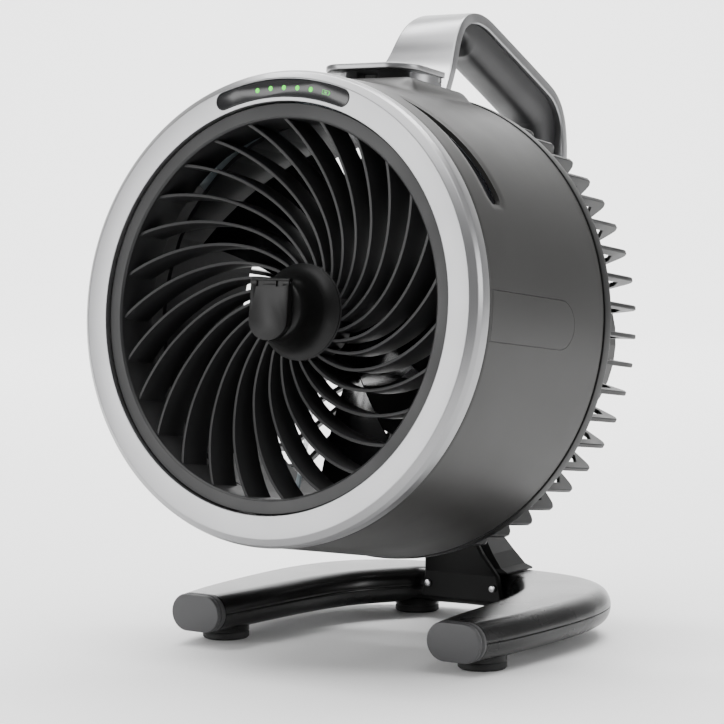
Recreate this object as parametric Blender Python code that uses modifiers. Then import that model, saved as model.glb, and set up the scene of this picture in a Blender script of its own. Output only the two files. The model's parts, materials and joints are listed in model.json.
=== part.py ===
"""Portable misting table fan: a round head with a swirl grille, fill lid and strap handle, on a
tilting neck over a U-shaped base. Metres, +Z up, the face looks along -Y, X = 0 is the mid plane."""

import math

import bmesh
import bpy
from mathutils import Matrix, Vector

# Head frame: the rest tilt about X, and the centre of the bezel's face in the world.
TILT = math.radians(6.43)
HEAD_Y, HEAD_Z = -0.1336, 0.1848
GAP = 0.0003
WELD = 0.00001

# Bezel and drum: radius and depth behind the bezel's face.
BEZEL_IN, BEZEL_FLAT, BEZEL_OUT = 0.1037, 0.1155, 0.1200
SHELL_FRONT, SHELL_REAR = 0.0125, 0.1200
SHELL_R0, SHELL_R1, SHELL_WALL = 0.1198, 0.1256, 0.0030
DISPLAY_R, DISPLAY_HALF_H, DISPLAY_HALF_ANGLE = 0.1103, 0.0044, math.radians(19.0)
LED_ANGLES = (8.0, 3.8, -0.4, -4.65, -8.9)
LED_R = 0.0013

# Front grille.
VANES = 27
VANE_PHASE = 7.5
VANE_T = 0.0016
RIM_IN, RIM_OUT = 0.0955, 0.1031
HUB_R = 0.0250
VANE_STATIONS = (
    # radius, sweep angle, front depth, rear depth
    (0.0238, -3.0, 0.0285, 0.0405),
    (0.0330, 8.5, 0.0262, 0.0400),
    (0.0450, 20.0, 0.0228, 0.0385),
    (0.0600, 32.5, 0.0180, 0.0355),
    (0.0770, 44.5, 0.0118, 0.0310),
    (0.0965, 57.0, 0.0050, 0.0250),
)

# Impeller and its drive.
DUCT_IN, DUCT_OUT = 0.1012, 0.1034
BLADES = 5
BLADE_PHASE = 249.0
BLADE_SPAN = 47.0
BLADE_SPANS = 5
BLADE_RADII = (0.0325, 0.0500, 0.0670, 0.0840, 0.0985)
BLADE_LEAN = (0.0, 1.5, 3.0, 4.5, 6.0)
BLADE_FRONT, BLADE_PITCH, BLADE_CAMBER, BLADE_T = 0.0640, 0.0290, 0.0040, 0.0020
IMPELLER_HUB_R = 0.0340
MOTOR_R = 0.0280

# Rear cage and pod.
RIBS = 50
RIB_T = 0.0024
CAGE_R, CAGE_REAR = 0.1225, 0.1680
POD_R, POD_FRONT, POD_SPLIT, POD_REAR = 0.0600, 0.1695, 0.2550, 0.2720
POD_WALL = 0.0026
SADDLE_HALF, SADDLE_Z = 0.0215, (0.0480, 0.0602)

# Fill lid and its pad on the drum, in the head frame.
PAD_TOP = 0.1258
LID_HALF_W, LID_FRONT, LID_REAR = 0.0290, 0.0700, 0.1080
LID_BOTTOM, LID_STEP, LID_TOP = 0.1266, 0.1312, 0.1345
LID_AXIS = (0.1050, 0.1300)
LUG_HALF_W, LUG_TOP = 0.0170, 0.1322
FILL_D = 0.0885

# Handle strap: depth, height and half-width along its outer face, front foot to rear foot.
STRAP_T = 0.0060
STRAP = (
    (0.1092, 0.1262, 0.0290),
    (0.1186, 0.1350, 0.0252),
    (0.1248, 0.1418, 0.0225),
    (0.1289, 0.1490, 0.0208),
    (0.1325, 0.1566, 0.0196),
    (0.1363, 0.1630, 0.0187),
    (0.1412, 0.1686, 0.0177),
    (0.1475, 0.1728, 0.0167),
    (0.1552, 0.1756, 0.0158),
    (0.1645, 0.1767, 0.0155),
    (0.1735, 0.1756, 0.0155),
    (0.1815, 0.1732, 0.0156),
    (0.2484, 0.1498, 0.0165),
    (0.2562, 0.1455, 0.0168),
    (0.2620, 0.1398, 0.0171),
    (0.2660, 0.1325, 0.0175),
    (0.2680, 0.1240, 0.0180),
    (0.2685, 0.1130, 0.0188),
    (0.2685, 0.0612, 0.0200),
)
GRIP_DEEPEST = 0.0175
GRIP_LEAD_IN = (0.0040, 0.0090, 0.0135, 0.0165)
GRIP_LEAD_OUT = (0.0172, 0.0168, 0.0165, 0.0160)
GRIP_FIRST = 6

# Base: the shells' plan as (outer x, outer y, inner x, inner y), y counted from the leg ends.
LEG_Y = -0.0891
LEG_X = 0.0806
BASE_LOW, BASE_SPLIT, BASE_HIGH = 0.0070, 0.0172, 0.0272
BASE_WALL = 0.0026
BASE_PLAN = (
    (0.0968, 0.0062, 0.0642, 0.0062),
    (0.0995, 0.0200, 0.0626, 0.0200),
    (0.1020, 0.0400, 0.0606, 0.0440),
    (0.1038, 0.0680, 0.0584, 0.0740),
    (0.1044, 0.0920, 0.0552, 0.0960),
    (0.1030, 0.1150, 0.0500, 0.1150),
    (0.0972, 0.1400, 0.0410, 0.1310),
    (0.0850, 0.1600, 0.0330, 0.1420),
    (0.0640, 0.1755, 0.0278, 0.1492),
    (0.0350, 0.1838, 0.0150, 0.1496),
    (0.0000, 0.1862, 0.0000, 0.1498),
)
PADS = ((0.0810, 0.0290, "f"), (0.0400, 0.1620, "r"))
PAD_R, PAD_H = 0.0127, 0.0040

# Neck and tilt joint, y counted from the leg ends.
PIVOT_Y, PIVOT_Z = 0.1280, 0.0660
PIVOT_PIN_R = 0.0040

CELL_R, TRAY_HALF = 0.0105, 0.0322
BUTTON_Z = 0.0120
BUTTONS = ((-0.0200, "mist"), (0.0, "power"), (0.0200, "speed"))

HEAD = Matrix.Translation((0, HEAD_Y, HEAD_Z)) @ Matrix.Rotation(-TILT, 4, "X")
WORLD = Matrix.Identity(4)
LAY = {
    "x": Matrix(((0, 0, 1, 0), (1, 0, 0, 0), (0, 1, 0, 0), (0, 0, 0, 1))),
    "y": Matrix.Rotation(math.radians(90), 4, "X"),
    "z": Matrix.Identity(4),
}
Y_TO_Z = Matrix.Rotation(math.radians(90), 4, "X")
Y_TO_X = Matrix.Rotation(math.radians(-90), 4, "Z")


def clear_scene():
    for obj in list(bpy.data.objects):
        bpy.data.objects.remove(obj, do_unlink=True)


def collection(name):
    made = bpy.data.collections.new(name)
    bpy.context.scene.collection.children.link(made)
    return made


def material(name, colour, metallic, roughness, alpha=1.0):
    made = bpy.data.materials.new(name)
    made.use_nodes = True
    shader = made.node_tree.nodes["Principled BSDF"]
    shader.inputs["Base Color"].default_value = (*colour, 1.0)
    shader.inputs["Metallic"].default_value = metallic
    shader.inputs["Roughness"].default_value = roughness
    shader.inputs["Alpha"].default_value = alpha
    return made


# Building blocks -------------------------------------------------------------------------------
# A shape is a mesh, or for a turned one its profile's mesh with the settings of its Screw.


def finished(work, name):
    """The mesh of a bmesh, welded and with its faces turned outward."""
    bmesh.ops.remove_doubles(work, verts=work.verts, dist=WELD)
    bmesh.ops.recalc_face_normals(work, faces=work.faces)
    mesh = bpy.data.meshes.new(name)
    work.to_mesh(mesh)
    work.free()
    return mesh


def box(x0, x1, y0, y1, z0, z1):
    work = bmesh.new()
    centre = Matrix.Translation(((x0 + x1) / 2, (y0 + y1) / 2, (z0 + z1) / 2))
    size = Matrix.Diagonal((x1 - x0, y1 - y0, z1 - z0, 1.0))
    bmesh.ops.create_cube(work, size=1.0, matrix=centre @ size)
    return finished(work, "box")


def laid(a, b, low, high, along):
    """Where the middle of a flat shape goes, and the turn that lays its own Z along the given axis."""
    middle = (low + high) / 2
    spot = {"x": (middle, a, b), "y": (a, middle, b), "z": (a, b, middle)}[along]
    return Matrix.Translation(spot) @ LAY[along]


def rod(a, b, radius, low, high, along, sides=16):
    """Cylinder along one axis: "x" takes (y, z) as its centre, "y" (x, z) and "z" (x, y)."""
    work = bmesh.new()
    place = laid(a, b, low, high, along)
    ends = {"radius1": radius, "radius2": radius, "depth": high - low}
    bmesh.ops.create_cone(work, cap_ends=True, segments=sides, matrix=place, **ends)
    return finished(work, "rod")


def mesh_of_curve(curve, points, closed):
    """A curve through the points as a mesh whose caps are welded to its sides."""
    spline = curve.splines.new("POLY")
    spline.points.add(len(points) - 1)
    for made, point in zip(spline.points, points):
        made.co = (*point, 1.0)
    spline.use_cyclic_u = closed
    holder = bpy.data.objects.new(curve.name, curve)
    work = bmesh.new()
    work.from_mesh(bpy.data.meshes.new_from_object(holder))
    bpy.data.objects.remove(holder)
    return finished(work, curve.name)


def prism(outline, low, high, along):
    """Filled outline carried along one axis: "x" takes (y, z), "y" takes (x, z), "z" takes (x, y)."""
    curve = bpy.data.curves.new("outline", "CURVE")
    curve.dimensions = "2D"
    curve.fill_mode = "BOTH"
    curve.extrude = (high - low) / 2
    mesh = mesh_of_curve(curve, [(a, b, 0.0) for a, b in outline], True)
    mesh.transform(laid(0, 0, low, high, along))
    return mesh


def tube(path, radius, resolution=2):
    """Round line through the given points with capped ends."""
    curve = bpy.data.curves.new("line", "CURVE")
    curve.dimensions = "3D"
    curve.bevel_depth = radius
    curve.bevel_resolution = resolution
    curve.use_fill_caps = True
    return mesh_of_curve(curve, path, False)


def profile_edges(profile, ring):
    work = bmesh.new()
    verts = [work.verts.new((radius, depth, 0.0)) for radius, depth in profile]
    for a, b in zip(verts, verts[1:]):
        work.edges.new((a, b))
    if ring:
        work.edges.new((verts[-1], verts[0]))
    mesh = bpy.data.meshes.new("profile")
    work.to_mesh(mesh)
    work.free()
    return mesh


def turned(profile, sides=64, ring=False):
    """Profile of (radius, depth) turned about the Y axis. A ring's profile is closed on itself."""
    loop = profile + profile[:1]
    area = sum(a[0] * b[1] - b[0] * a[1] for a, b in zip(loop, loop[1:]))
    return profile_edges(profile, ring), sides, area > 0


def turned_sector(profile, steps, start, end):
    """Closed profile turned through part of a circle about the Y axis, with flat ends."""
    work = bmesh.new()
    face = work.faces.new([work.verts.new(polar(radius, start, depth)) for radius, depth in profile])
    geometry = [face, *face.edges, *face.verts]
    sweep = math.radians(start - end)
    bmesh.ops.spin(work, geom=geometry, cent=(0, 0, 0), axis=(0, 1, 0), angle=sweep, steps=steps)
    return finished(work, "sector")


def loft(sections):
    """Matching closed sections joined in order, with both ends closed."""
    work = bmesh.new()
    rings = [[work.verts.new(p) for p in section] for section in sections]
    for low, high in zip(rings, rings[1:]):
        for i in range(len(low)):
            n = (i + 1) % len(low)
            work.faces.new((low[i], low[n], high[n], high[i]))
    work.faces.new(rings[0])
    work.faces.new(rings[-1])
    return finished(work, "loft")


def merged(shapes):
    """Several closed meshes as one operand."""
    work = bmesh.new()
    for shape in shapes:
        work.from_mesh(shape)
    mesh = bpy.data.meshes.new("merged")
    work.to_mesh(mesh)
    work.free()
    return mesh


def around(shape, count, start=0.0):
    """Copies of a mesh spaced evenly about the Y axis, as one operand."""
    copies = []
    for k in range(count):
        copy = shape.copy()
        copy.transform(Matrix.Rotation(-math.radians(start + 360.0 * k / count), 4, "Y"))
        copies.append(copy)
    return merged(copies)


def solid(name, shape, frame, mat=None, helper=False):
    """An object of a shape. A helper is a cutter or an operand of a Boolean."""
    mesh, sides, flip = shape if isinstance(shape, tuple) else (shape, 0, False)
    mesh.name = name
    obj = bpy.data.objects.new(name, mesh)
    obj.matrix_world = frame
    if sides:
        screw = obj.modifiers.new("turn", "SCREW")
        screw.axis = "Y"
        screw.steps = sides
        screw.render_steps = sides
        screw.use_merge_vertices = True
        screw.merge_threshold = WELD
        screw.use_normal_flip = flip
        screw.use_smooth_shade = False
    if helper:
        CUTTERS.objects.link(obj)
        obj.hide_render = True
        obj.display_type = "WIRE"
    else:
        PARTS.objects.link(obj)
        mesh.materials.append(mat)
    return obj


def boolean(obj, operation, shape, frame):
    helper = solid(f"{obj.name}_{operation.lower()}_{len(obj.modifiers)}", shape, frame, helper=True)
    modifier = obj.modifiers.new(helper.name, "BOOLEAN")
    modifier.operation = operation
    modifier.solver = "EXACT"
    modifier.object = helper


def cut(obj, shape, frame=None):
    boolean(obj, "DIFFERENCE", shape, frame or obj.matrix_world)


def join(obj, shape, frame=None):
    boolean(obj, "UNION", shape, frame or obj.matrix_world)


def polar(radius, degrees, depth):
    a = math.radians(degrees)
    return (radius * math.cos(a), depth, radius * math.sin(a))


def on_axis(name, location, members, frame=None):
    """An empty on a joint's axis that carries the pieces that turn or slide there."""
    empty = bpy.data.objects.new(name, None)
    empty.empty_display_size = 0.02
    PARTS.objects.link(empty)
    empty.matrix_world = (frame or HEAD) @ Matrix.Translation(location)
    for obj in members:
        world = obj.matrix_world.copy()
        obj.parent = empty
        obj.matrix_parent_inverse = empty.matrix_world.inverted()
        obj.matrix_world = world
    return empty


# Base ------------------------------------------------------------------------------------------


def mirrored_plan():
    right = [((ox, oy), (ix, iy)) for ox, oy, ix, iy in BASE_PLAN]
    left = [((-ox, oy), (-ix, iy)) for (ox, oy), (ix, iy) in reversed(right[:-1])]
    return right + left


def base_section(outer, inner, upper):
    """Half of a stadium section, hollow on the parting side."""
    o, i = Vector(outer), Vector(inner)
    width = (o - i).length
    across = (o - i) / width
    edge = BASE_SPLIT + (GAP if upper else -GAP) / 2
    reach = (BASE_HIGH if upper else BASE_LOW) - edge
    sign = 1 if upper else -1

    def arch(inset):
        half, tall = width / 2 - inset, abs(reach) - inset
        curve = [(half, 0.0), (half - tall * 0.12, tall * 0.55), (half - tall * 0.45, tall * 0.9)]
        curve += [(half - tall * 0.95, tall)]
        return curve + [(-a, b) for a, b in reversed(curve)]

    middle = (o + i) / 2
    outline = arch(0.0) + [(a, b) for a, b in reversed(arch(BASE_WALL))]
    points = []
    for a, b in outline:
        spot = middle + across * a
        points.append((spot.x, LEG_Y + spot.y, edge + sign * b))
    return points


def base_shells():
    for name, upper in (("base_top_shell", True), ("base_bottom_shell", False)):
        sections = [base_section(outer, inner, upper) for outer, inner in mirrored_plan()]
        shell = solid(name, loft(sections), WORLD, BLACK_PLASTIC)
        if not upper:
            bosses = []
            for x, y, _ in PADS:
                for side in (-1, 1):
                    bosses.append(rod(side * x, LEG_Y + y, PAD_R, PAD_H + GAP, BASE_LOW + 0.0016, "z"))
            join(shell, merged(bosses))


def end_caps():
    """Stadium plugs that close the leg ends, each with a bead behind its flat face."""
    for name, side in (("end_cap_l", -1), ("end_cap_r", 1)):
        sections = []
        steps = ((0.0, 0.0153, 0.0098), (0.0012, 0.0160, 0.0101), (0.0030, 0.0156, 0.0098))
        steps += ((0.0042, 0.0163, 0.0101), (0.0059, 0.0163, 0.0101))
        for y, half, tall in steps:
            straight = half - tall
            ring = []
            for k in range(16):
                a = 2 * math.pi * (k + 0.5) / 16
                x = tall * math.cos(a) + (straight if math.cos(a) > 0 else -straight)
                ring.append((side * LEG_X + x, LEG_Y + y, 0.0171 + tall * math.sin(a)))
            sections.append(ring)
        solid(name, loft(sections), WORLD, CAP_GREY)


def foot_pads():
    profile = [(0.0, 0.0), (PAD_R - 0.0012, 0.0), (PAD_R, 0.0010), (PAD_R, PAD_H), (0.0, PAD_H)]
    for x, y, row in PADS:
        for hand, side in (("l", -1), ("r", 1)):
            frame = Matrix.Translation((side * x, LEG_Y + y, 0.0)) @ Y_TO_Z
            solid(f"foot_pad_{row}{hand}", turned(profile, 16), frame, RUBBER)


def neck_post():
    """Post that leans forward from the cross bar and ends in two ears that hold the tilt pin."""
    levels = (
        # height, front y, rear y, half-width
        (BASE_HIGH + GAP, 0.1490, 0.1842, 0.0262),
        (0.0285, 0.1482, 0.1838, 0.0262),
        (0.0310, 0.1462, 0.1800, 0.0235),
        (0.0400, 0.1402, 0.1702, 0.0215),
        (0.0500, 0.1335, 0.1585, 0.0205),
        (0.0560, 0.1296, 0.1515, 0.0200),
    )
    sections = []
    for z, front, rear, half in levels:
        y0, y1 = LEG_Y + front, LEG_Y + rear
        c = 0.003
        sections.append(
            [(half - c, y0, z), (half, y0 + c, z), (half, y1 - c, z), (half - c, y1, z)]
            + [(c - half, y1, z), (-half, y1 - c, z), (-half, y0 + c, z), (c - half, y0, z)]
        )
    post = solid("neck_post", loft(sections), WORLD, BLACK_PLASTIC)
    y, z = LEG_Y + PIVOT_Y, PIVOT_Z
    ear = [(y + 0.0068, 0.0492), (y + 0.0219, 0.0492), (y + 0.0110, z + 0.0010)]
    ear += [(y + 0.0078, z + 0.0078), (y, z + 0.0110), (y - 0.0078, z + 0.0078), (y - 0.0110, z)]
    for low, high in ((-0.0199, -0.0135), (0.0135, 0.0199)):
        join(post, prism(ear, low, high, "x"))
    cut(post, rod(y, z, PIVOT_PIN_R + GAP, -0.03, 0.03, "x", 24))
    cut(post, rod(y, z, 0.0128, -0.0135, 0.0135, "x", 24))


def neck_cover():
    """Front plate of the neck: it tapers upward, leans forward and hangs in front of the cross bar."""
    levels = (
        # height, front y, half-width
        (0.0125, 0.1448, 0.0268),
        (0.0270, 0.1436, 0.0240),
        (0.0400, 0.1352, 0.0192),
        (0.0500, 0.1285, 0.0178),
        (0.0610, 0.1125, 0.0172),
    )
    sections = []
    for z, front, half in levels:
        y0, y1 = LEG_Y + front, LEG_Y + front + 0.0034
        c = 0.0012
        sections.append(
            [(half - c, y0, z), (half, y0 + c, z), (half, y1, z)]
            + [(-half, y1, z), (-half, y0 + c, z), (c - half, y0, z)]
        )
    solid("neck_cover", loft(sections), WORLD, BLACK_PLASTIC)


def neck_screws():
    for hand, side in (("l", -1), ("r", 1)):
        x = side * 0.0212
        head = [(0.0, 0.0), (0.0016, 0.0002), (0.0020, 0.0008), (0.0020, 0.0016), (0.0, 0.0016)]
        frame = Matrix.Translation((x, LEG_Y + 0.1418, 0.0200))
        solid(f"neck_screw_{hand}", turned(head, 12), frame, STEEL)


def tilt_pin():
    profile = [(0.0, -0.0222), (0.0052, -0.0222), (0.0060, -0.0204), (PIVOT_PIN_R, -0.0203)]
    profile += [(PIVOT_PIN_R, 0.0205), (0.0, 0.0205)]
    frame = Matrix.Translation((0.0, LEG_Y + PIVOT_Y, PIVOT_Z)) @ Y_TO_X
    solid("tilt_pin", turned(profile, 24), frame, STEEL)


def tilt_washers():
    y, z = LEG_Y + PIVOT_Y, PIVOT_Z
    for hand, side in (("l", -1), ("r", 1)):
        profile = [(PIVOT_PIN_R + GAP, 0.0), (0.0085, 0.0), (0.0085, 0.0010), (PIVOT_PIN_R + GAP, 0.0010)]
        start = side * 0.0130 if side < 0 else side * 0.0120
        turn = Matrix.Translation((start, y, z)) @ Y_TO_X
        solid(f"tilt_washer_{hand}", turned(profile, 24, ring=True), turn, RUBBER)


# Head shell ------------------------------------------------------------------------------------


def arc_bar(radius, half_h, half_angle, front, rear, steps=8):
    """Stadium bar bent along an arc at the top of the head, with round ends."""
    outline = []
    for k in range(steps + 1):
        a = math.pi / 2 - half_angle + 2 * half_angle * k / steps
        outline.append(((radius + half_h) * math.cos(a), (radius + half_h) * math.sin(a)))
    for sign in (1, -1):
        centre = math.pi / 2 + sign * half_angle
        cx, cz = radius * math.cos(centre), radius * math.sin(centre)
        for k in range(1, 6):
            a = centre + (k * math.pi / 6 if sign > 0 else math.pi + k * math.pi / 6)
            outline.append((cx + half_h * math.cos(a), cz + half_h * math.sin(a)))
        if sign > 0:
            for j in range(steps + 1):
                a = math.pi / 2 + half_angle - 2 * half_angle * j / steps
                outline.append(((radius - half_h) * math.cos(a), (radius - half_h) * math.sin(a)))
    return prism(outline, front, rear, "y")


def bezel_ring():
    profile = [(BEZEL_IN, 0.0006), (BEZEL_IN + 0.0006, 0.0), (BEZEL_FLAT, 0.0), (0.1188, 0.0026)]
    profile += [(BEZEL_OUT, 0.0055), (BEZEL_OUT, 0.0120), (0.1170, 0.0120), (0.1170, 0.0070)]
    profile += [(BEZEL_IN, 0.0070)]
    ring = solid("bezel_ring", turned(profile, 48, ring=True), HEAD, SILVER)
    pocket = arc_bar(DISPLAY_R, DISPLAY_HALF_H + GAP, DISPLAY_HALF_ANGLE, -0.001, 0.0075)
    cut(ring, pocket)


def display_window():
    shape = arc_bar(DISPLAY_R, DISPLAY_HALF_H, DISPLAY_HALF_ANGLE, 0.0002, 0.0022)
    window = solid("display_window", shape, HEAD, GLOSS_BLACK)
    holes = []
    for offset in LED_ANGLES:
        x, _, z = polar(DISPLAY_R, 90 + offset, 0)
        holes.append(rod(x, z, LED_R + GAP, -0.001, 0.003, "y", 8))
    cut(window, merged(holes))


def light_guide():
    """Clear comb behind the window whose pins show the charge level."""
    bar = arc_bar(DISPLAY_R, 0.0024, math.radians(12.0), 0.0028, 0.0048, 8)
    guide = solid("light_guide", bar, HEAD, LED_GREEN)
    pins = []
    for offset in LED_ANGLES:
        x, _, z = polar(DISPLAY_R, 90 + offset, 0)
        pins.append(rod(x, z, LED_R, 0.0001, 0.0035, "y", 8))
    join(guide, merged(pins))


def drum_shell():
    """Flaring drum with a raised pad on top, side slots and a filler hole, open at both ends."""
    outer = [(0.0, SHELL_FRONT), (SHELL_R0, SHELL_FRONT), (SHELL_R1, SHELL_REAR), (0.0, SHELL_REAR)]
    shell = solid("drum_shell", turned(outer, 60), HEAD, CHARCOAL)
    pad = [(0.0260, 0.0600), (0.0330, 0.0680), (0.0340, 0.1080), (0.0325, 0.1185)]
    pad = pad + [(-x, d) for x, d in reversed(pad)]
    join(shell, prism(pad, 0.0950, PAD_TOP, "z"))
    join(shell, box(-LUG_HALF_W, LUG_HALF_W, 0.1005, 0.1068, 0.1200, LUG_TOP))
    for side in (-1, 1):
        cut(shell, side_slot(side, 0.0))
        cut(shell, side_panel_shape(side, GAP, 0.0016))
    cut(shell, rod(LID_AXIS[0], LID_AXIS[1], 0.0017, -0.03, 0.03, "x", 12))
    cut(shell, rod(0, FILL_D, 0.0122, 0.10, 0.14, "z", 24))
    inner = [(0.0, 0.0100), (SHELL_R0 - SHELL_WALL, 0.0100), (SHELL_R1 - SHELL_WALL, 0.1225), (0.0, 0.1225)]
    cut(shell, turned(inner, 60))


SLOT_ROWS = (
    # angle from the top, depth of the centre line, half-width
    (26.0, 0.0299, 0.0006),
    (34.0, 0.0312, 0.0026),
    (42.0, 0.0326, 0.0042),
    (50.0, 0.0338, 0.0052),
    (57.0, 0.0345, 0.0055),
    (62.6, 0.0348, 0.0042),
)


def side_slot(side, shrink, low=0.1150, high=0.1300):
    """Crescent block, thin at its upper end and blunt below, between two radii of the drum."""
    sections = []
    for angle, depth, half in SLOT_ROWS:
        t = math.radians(angle)
        half -= shrink
        corners = ((low, -half), (low, half), (high, half), (high, -half))
        sections.append([(side * r * math.sin(t), depth + h, r * math.cos(t)) for r, h in corners])
    return loft(sections)


def slot_inserts():
    """Dark inserts sunk in the crescent slots."""
    for hand, side in (("l", -1), ("r", 1)):
        shape = side_slot(side, GAP, 0.1168, 0.1186)
        solid(f"slot_insert_{hand}", shape, HEAD, GLOSS_BLACK)


def side_panel_shape(side, grow, sink):
    """Panel with a round rear end, bent to the drum at the side."""
    half = 0.0123 + grow
    front, centre = 0.0150 - grow, 0.0785
    lift = 0.0006 if grow else -0.0001
    sections = []
    for k in range(9):
        a = -math.pi / 2 + math.pi * k / 8
        z, rear = half * math.sin(a), centre + half * math.cos(a) + 0.0002
        section = []
        for d, up in ((front, -sink), (front, lift), (rear, lift), (rear, -sink)):
            r = SHELL_R0 + (SHELL_R1 - SHELL_R0) * (d - SHELL_FRONT) / (SHELL_REAR - SHELL_FRONT) + up
            section.append((side * math.sqrt(r * r - z * z), d, z))
        sections.append(section)
    return loft(sections)


def side_panels():
    for hand, side in (("l", -1), ("r", 1)):
        solid(f"side_panel_{hand}", side_panel_shape(side, 0.0, 0.0012), HEAD, CHARCOAL)


# Front grille and mist head --------------------------------------------------------------------


def vane():
    """Upright blade of the grille that sweeps round as it runs from the hub to the rim."""
    sections = []
    rows = []
    for r, sweep, front, rear in VANE_STATIONS:
        x, _, z = polar(r, sweep, 0)
        rows.append((Vector((x, 0, z)), front, rear))
    for i, (spot, front, rear) in enumerate(rows):
        ahead = rows[min(i + 1, len(rows) - 1)][0] - rows[max(i - 1, 0)][0]
        across = Vector((-ahead.z, 0, ahead.x)).normalized() * VANE_T / 2
        section = []
        for sign, depth in ((1, front), (-1, front), (-1, rear), (1, rear)):
            p = spot + across * sign
            section.append((p.x, depth, p.z))
        sections.append(section)
    return loft(sections)


def front_grille():
    profile = [(RIM_IN, 0.0036), (0.0965, 0.0026), (RIM_OUT, 0.0026), (RIM_OUT, 0.0290), (RIM_IN, 0.0290)]
    grille = solid("front_grille", turned(profile, 60, ring=True), HEAD, DARK_GREY)
    join(grille, around(vane(), VANES, VANE_PHASE))
    hub = [(0.0060, 0.0280), (HUB_R, 0.0280), (HUB_R, 0.0410), (0.0060, 0.0410)]
    join(grille, turned(hub, 36, ring=True))


def hub_housing():
    profile = [(0.0, 0.0090), (0.0045, 0.0090), (0.0045, 0.0042), (0.0125, 0.0042), (0.0150, 0.0052)]
    profile += [(0.0162, 0.0078), (0.0168, 0.0180), (0.0200, 0.0250), (0.0246, 0.0272)]
    profile += [(0.0246, 0.0277), (0.0, 0.0277)]
    solid("hub_housing", turned(profile, 24), HEAD, BLACK_PLASTIC)


def mist_nozzle():
    profile = [(0.0, 0.0048), (0.0012, 0.0046), (0.0030, 0.0056), (0.0036, 0.0064), (0.0036, 0.0086)]
    profile += [(0.0, 0.0086)]
    solid("mist_nozzle", turned(profile, 16), HEAD, STEEL)


def nozzle_cover():
    """U-shaped flap over the nozzle, with a hinge barrel along its top edge."""
    half = 0.0116
    plan = [(half, 0.0118), (half, -0.0060)]
    for k in range(1, 8):
        a = math.pi * k / 8
        plan.append((half * math.cos(a), -0.0060 - 0.0105 * math.sin(a)))
    plan += [(-half, -0.0060), (-half, 0.0118)]
    cover = solid("nozzle_cover", prism(plan, -0.0008, 0.0035, "y"), HEAD, BLACK_PLASTIC)
    join(cover, rod(0.0014, 0.0128, 0.0022, -half, half, "x", 12))
    cut(cover, rod(0.0014, 0.0128, 0.0011, -0.02, 0.02, "x", 10))
    for x in (-0.0080, 0.0040):
        cut(cover, box(x, x + 0.0040, -0.0040, 0.0002, 0.0105, 0.0135))
    on_axis("nozzle_cover_axis", (0, 0.0014, 0.0128), [cover])


def nozzle_hinge_pin():
    solid("nozzle_hinge_pin", rod(0.0014, 0.0128, 0.0008, -0.0112, 0.0112, "x", 10), HEAD, STEEL)


def mist_feed_line():
    path = [(0.0, 0.0424, -0.0030), (0.0, 0.0440, -0.0060), (0.0, 0.0440, -0.0300)]
    path += [(0.0, 0.0420, -0.0600), (0.0, 0.0350, -0.0900), (0.0, 0.0318, -0.0985)]
    solid("mist_feed_line", tube(path, 0.0014), HEAD, CLEAR)


# Air mover -------------------------------------------------------------------------------------


def duct_shroud():
    profile = [(DUCT_IN, 0.0480), (DUCT_OUT, 0.0480), (DUCT_OUT, 0.1180), (DUCT_IN, 0.1180)]
    duct = solid("duct_shroud", turned(profile, 48, ring=True), HEAD, DARK_GREY)
    for angle in (20, 160, 200, 340):
        x, _, z = polar(0.1115, angle, 0)
        stay = box(-0.0085, 0.0085, 0.1080, 0.1120, -0.0012, 0.0012)
        frame = HEAD @ Matrix.Translation((x, 0, z)) @ Matrix.Rotation(-math.radians(angle), 4, "Y")
        join(duct, stay, frame)


def blade():
    """Broad pitched blade that comes forward as it runs anticlockwise, seen from the front."""
    work = bmesh.new()
    bmesh.ops.create_grid(work, x_segments=BLADE_SPANS, y_segments=len(BLADE_RADII) - 1, size=0.5)
    for vert in work.verts:
        s, row = vert.co.x + 0.5, round((vert.co.y + 0.5) * (len(BLADE_RADII) - 1))
        depth = BLADE_FRONT + BLADE_PITCH * (1 - s) + BLADE_CAMBER * math.sin(math.pi * s)
        vert.co = polar(BLADE_RADII[row], BLADE_LEAN[row] + BLADE_SPAN * s, depth)
    bmesh.ops.solidify(work, geom=list(work.faces), thickness=BLADE_T)
    return finished(work, "blade")


def impeller():
    profile = [(0.0033, 0.0560), (0.0100, 0.0560), (0.0240, 0.0575), (0.0310, 0.0610)]
    profile += [(IMPELLER_HUB_R, 0.0670), (IMPELLER_HUB_R, 0.1000), (0.0312, 0.1000)]
    profile += [(0.0312, 0.0690), (0.0080, 0.0640), (0.0080, 0.0800), (0.0033, 0.0800)]
    wheel = solid("impeller", turned(profile, 30, ring=True), HEAD, GLOSS_BLACK)
    join(wheel, around(blade(), BLADES, BLADE_PHASE))
    shaft = [(0.0, 0.0500), (0.0030, 0.0500), (0.0030, 0.1500), (0.0, 0.1500)]
    rod = solid("motor_shaft", turned(shaft, 16), HEAD, STEEL)
    nut = [(0.0033, 0.0557), (0.0033, 0.0510), (0.0055, 0.0502), (0.0080, 0.0530), (0.0080, 0.0557)]
    spinner = solid("spinner_nut", turned(nut, 12, ring=True), HEAD, BLACK_PLASTIC)
    on_axis("impeller_axis", (0, 0.08, 0), [wheel, rod, spinner])


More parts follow.
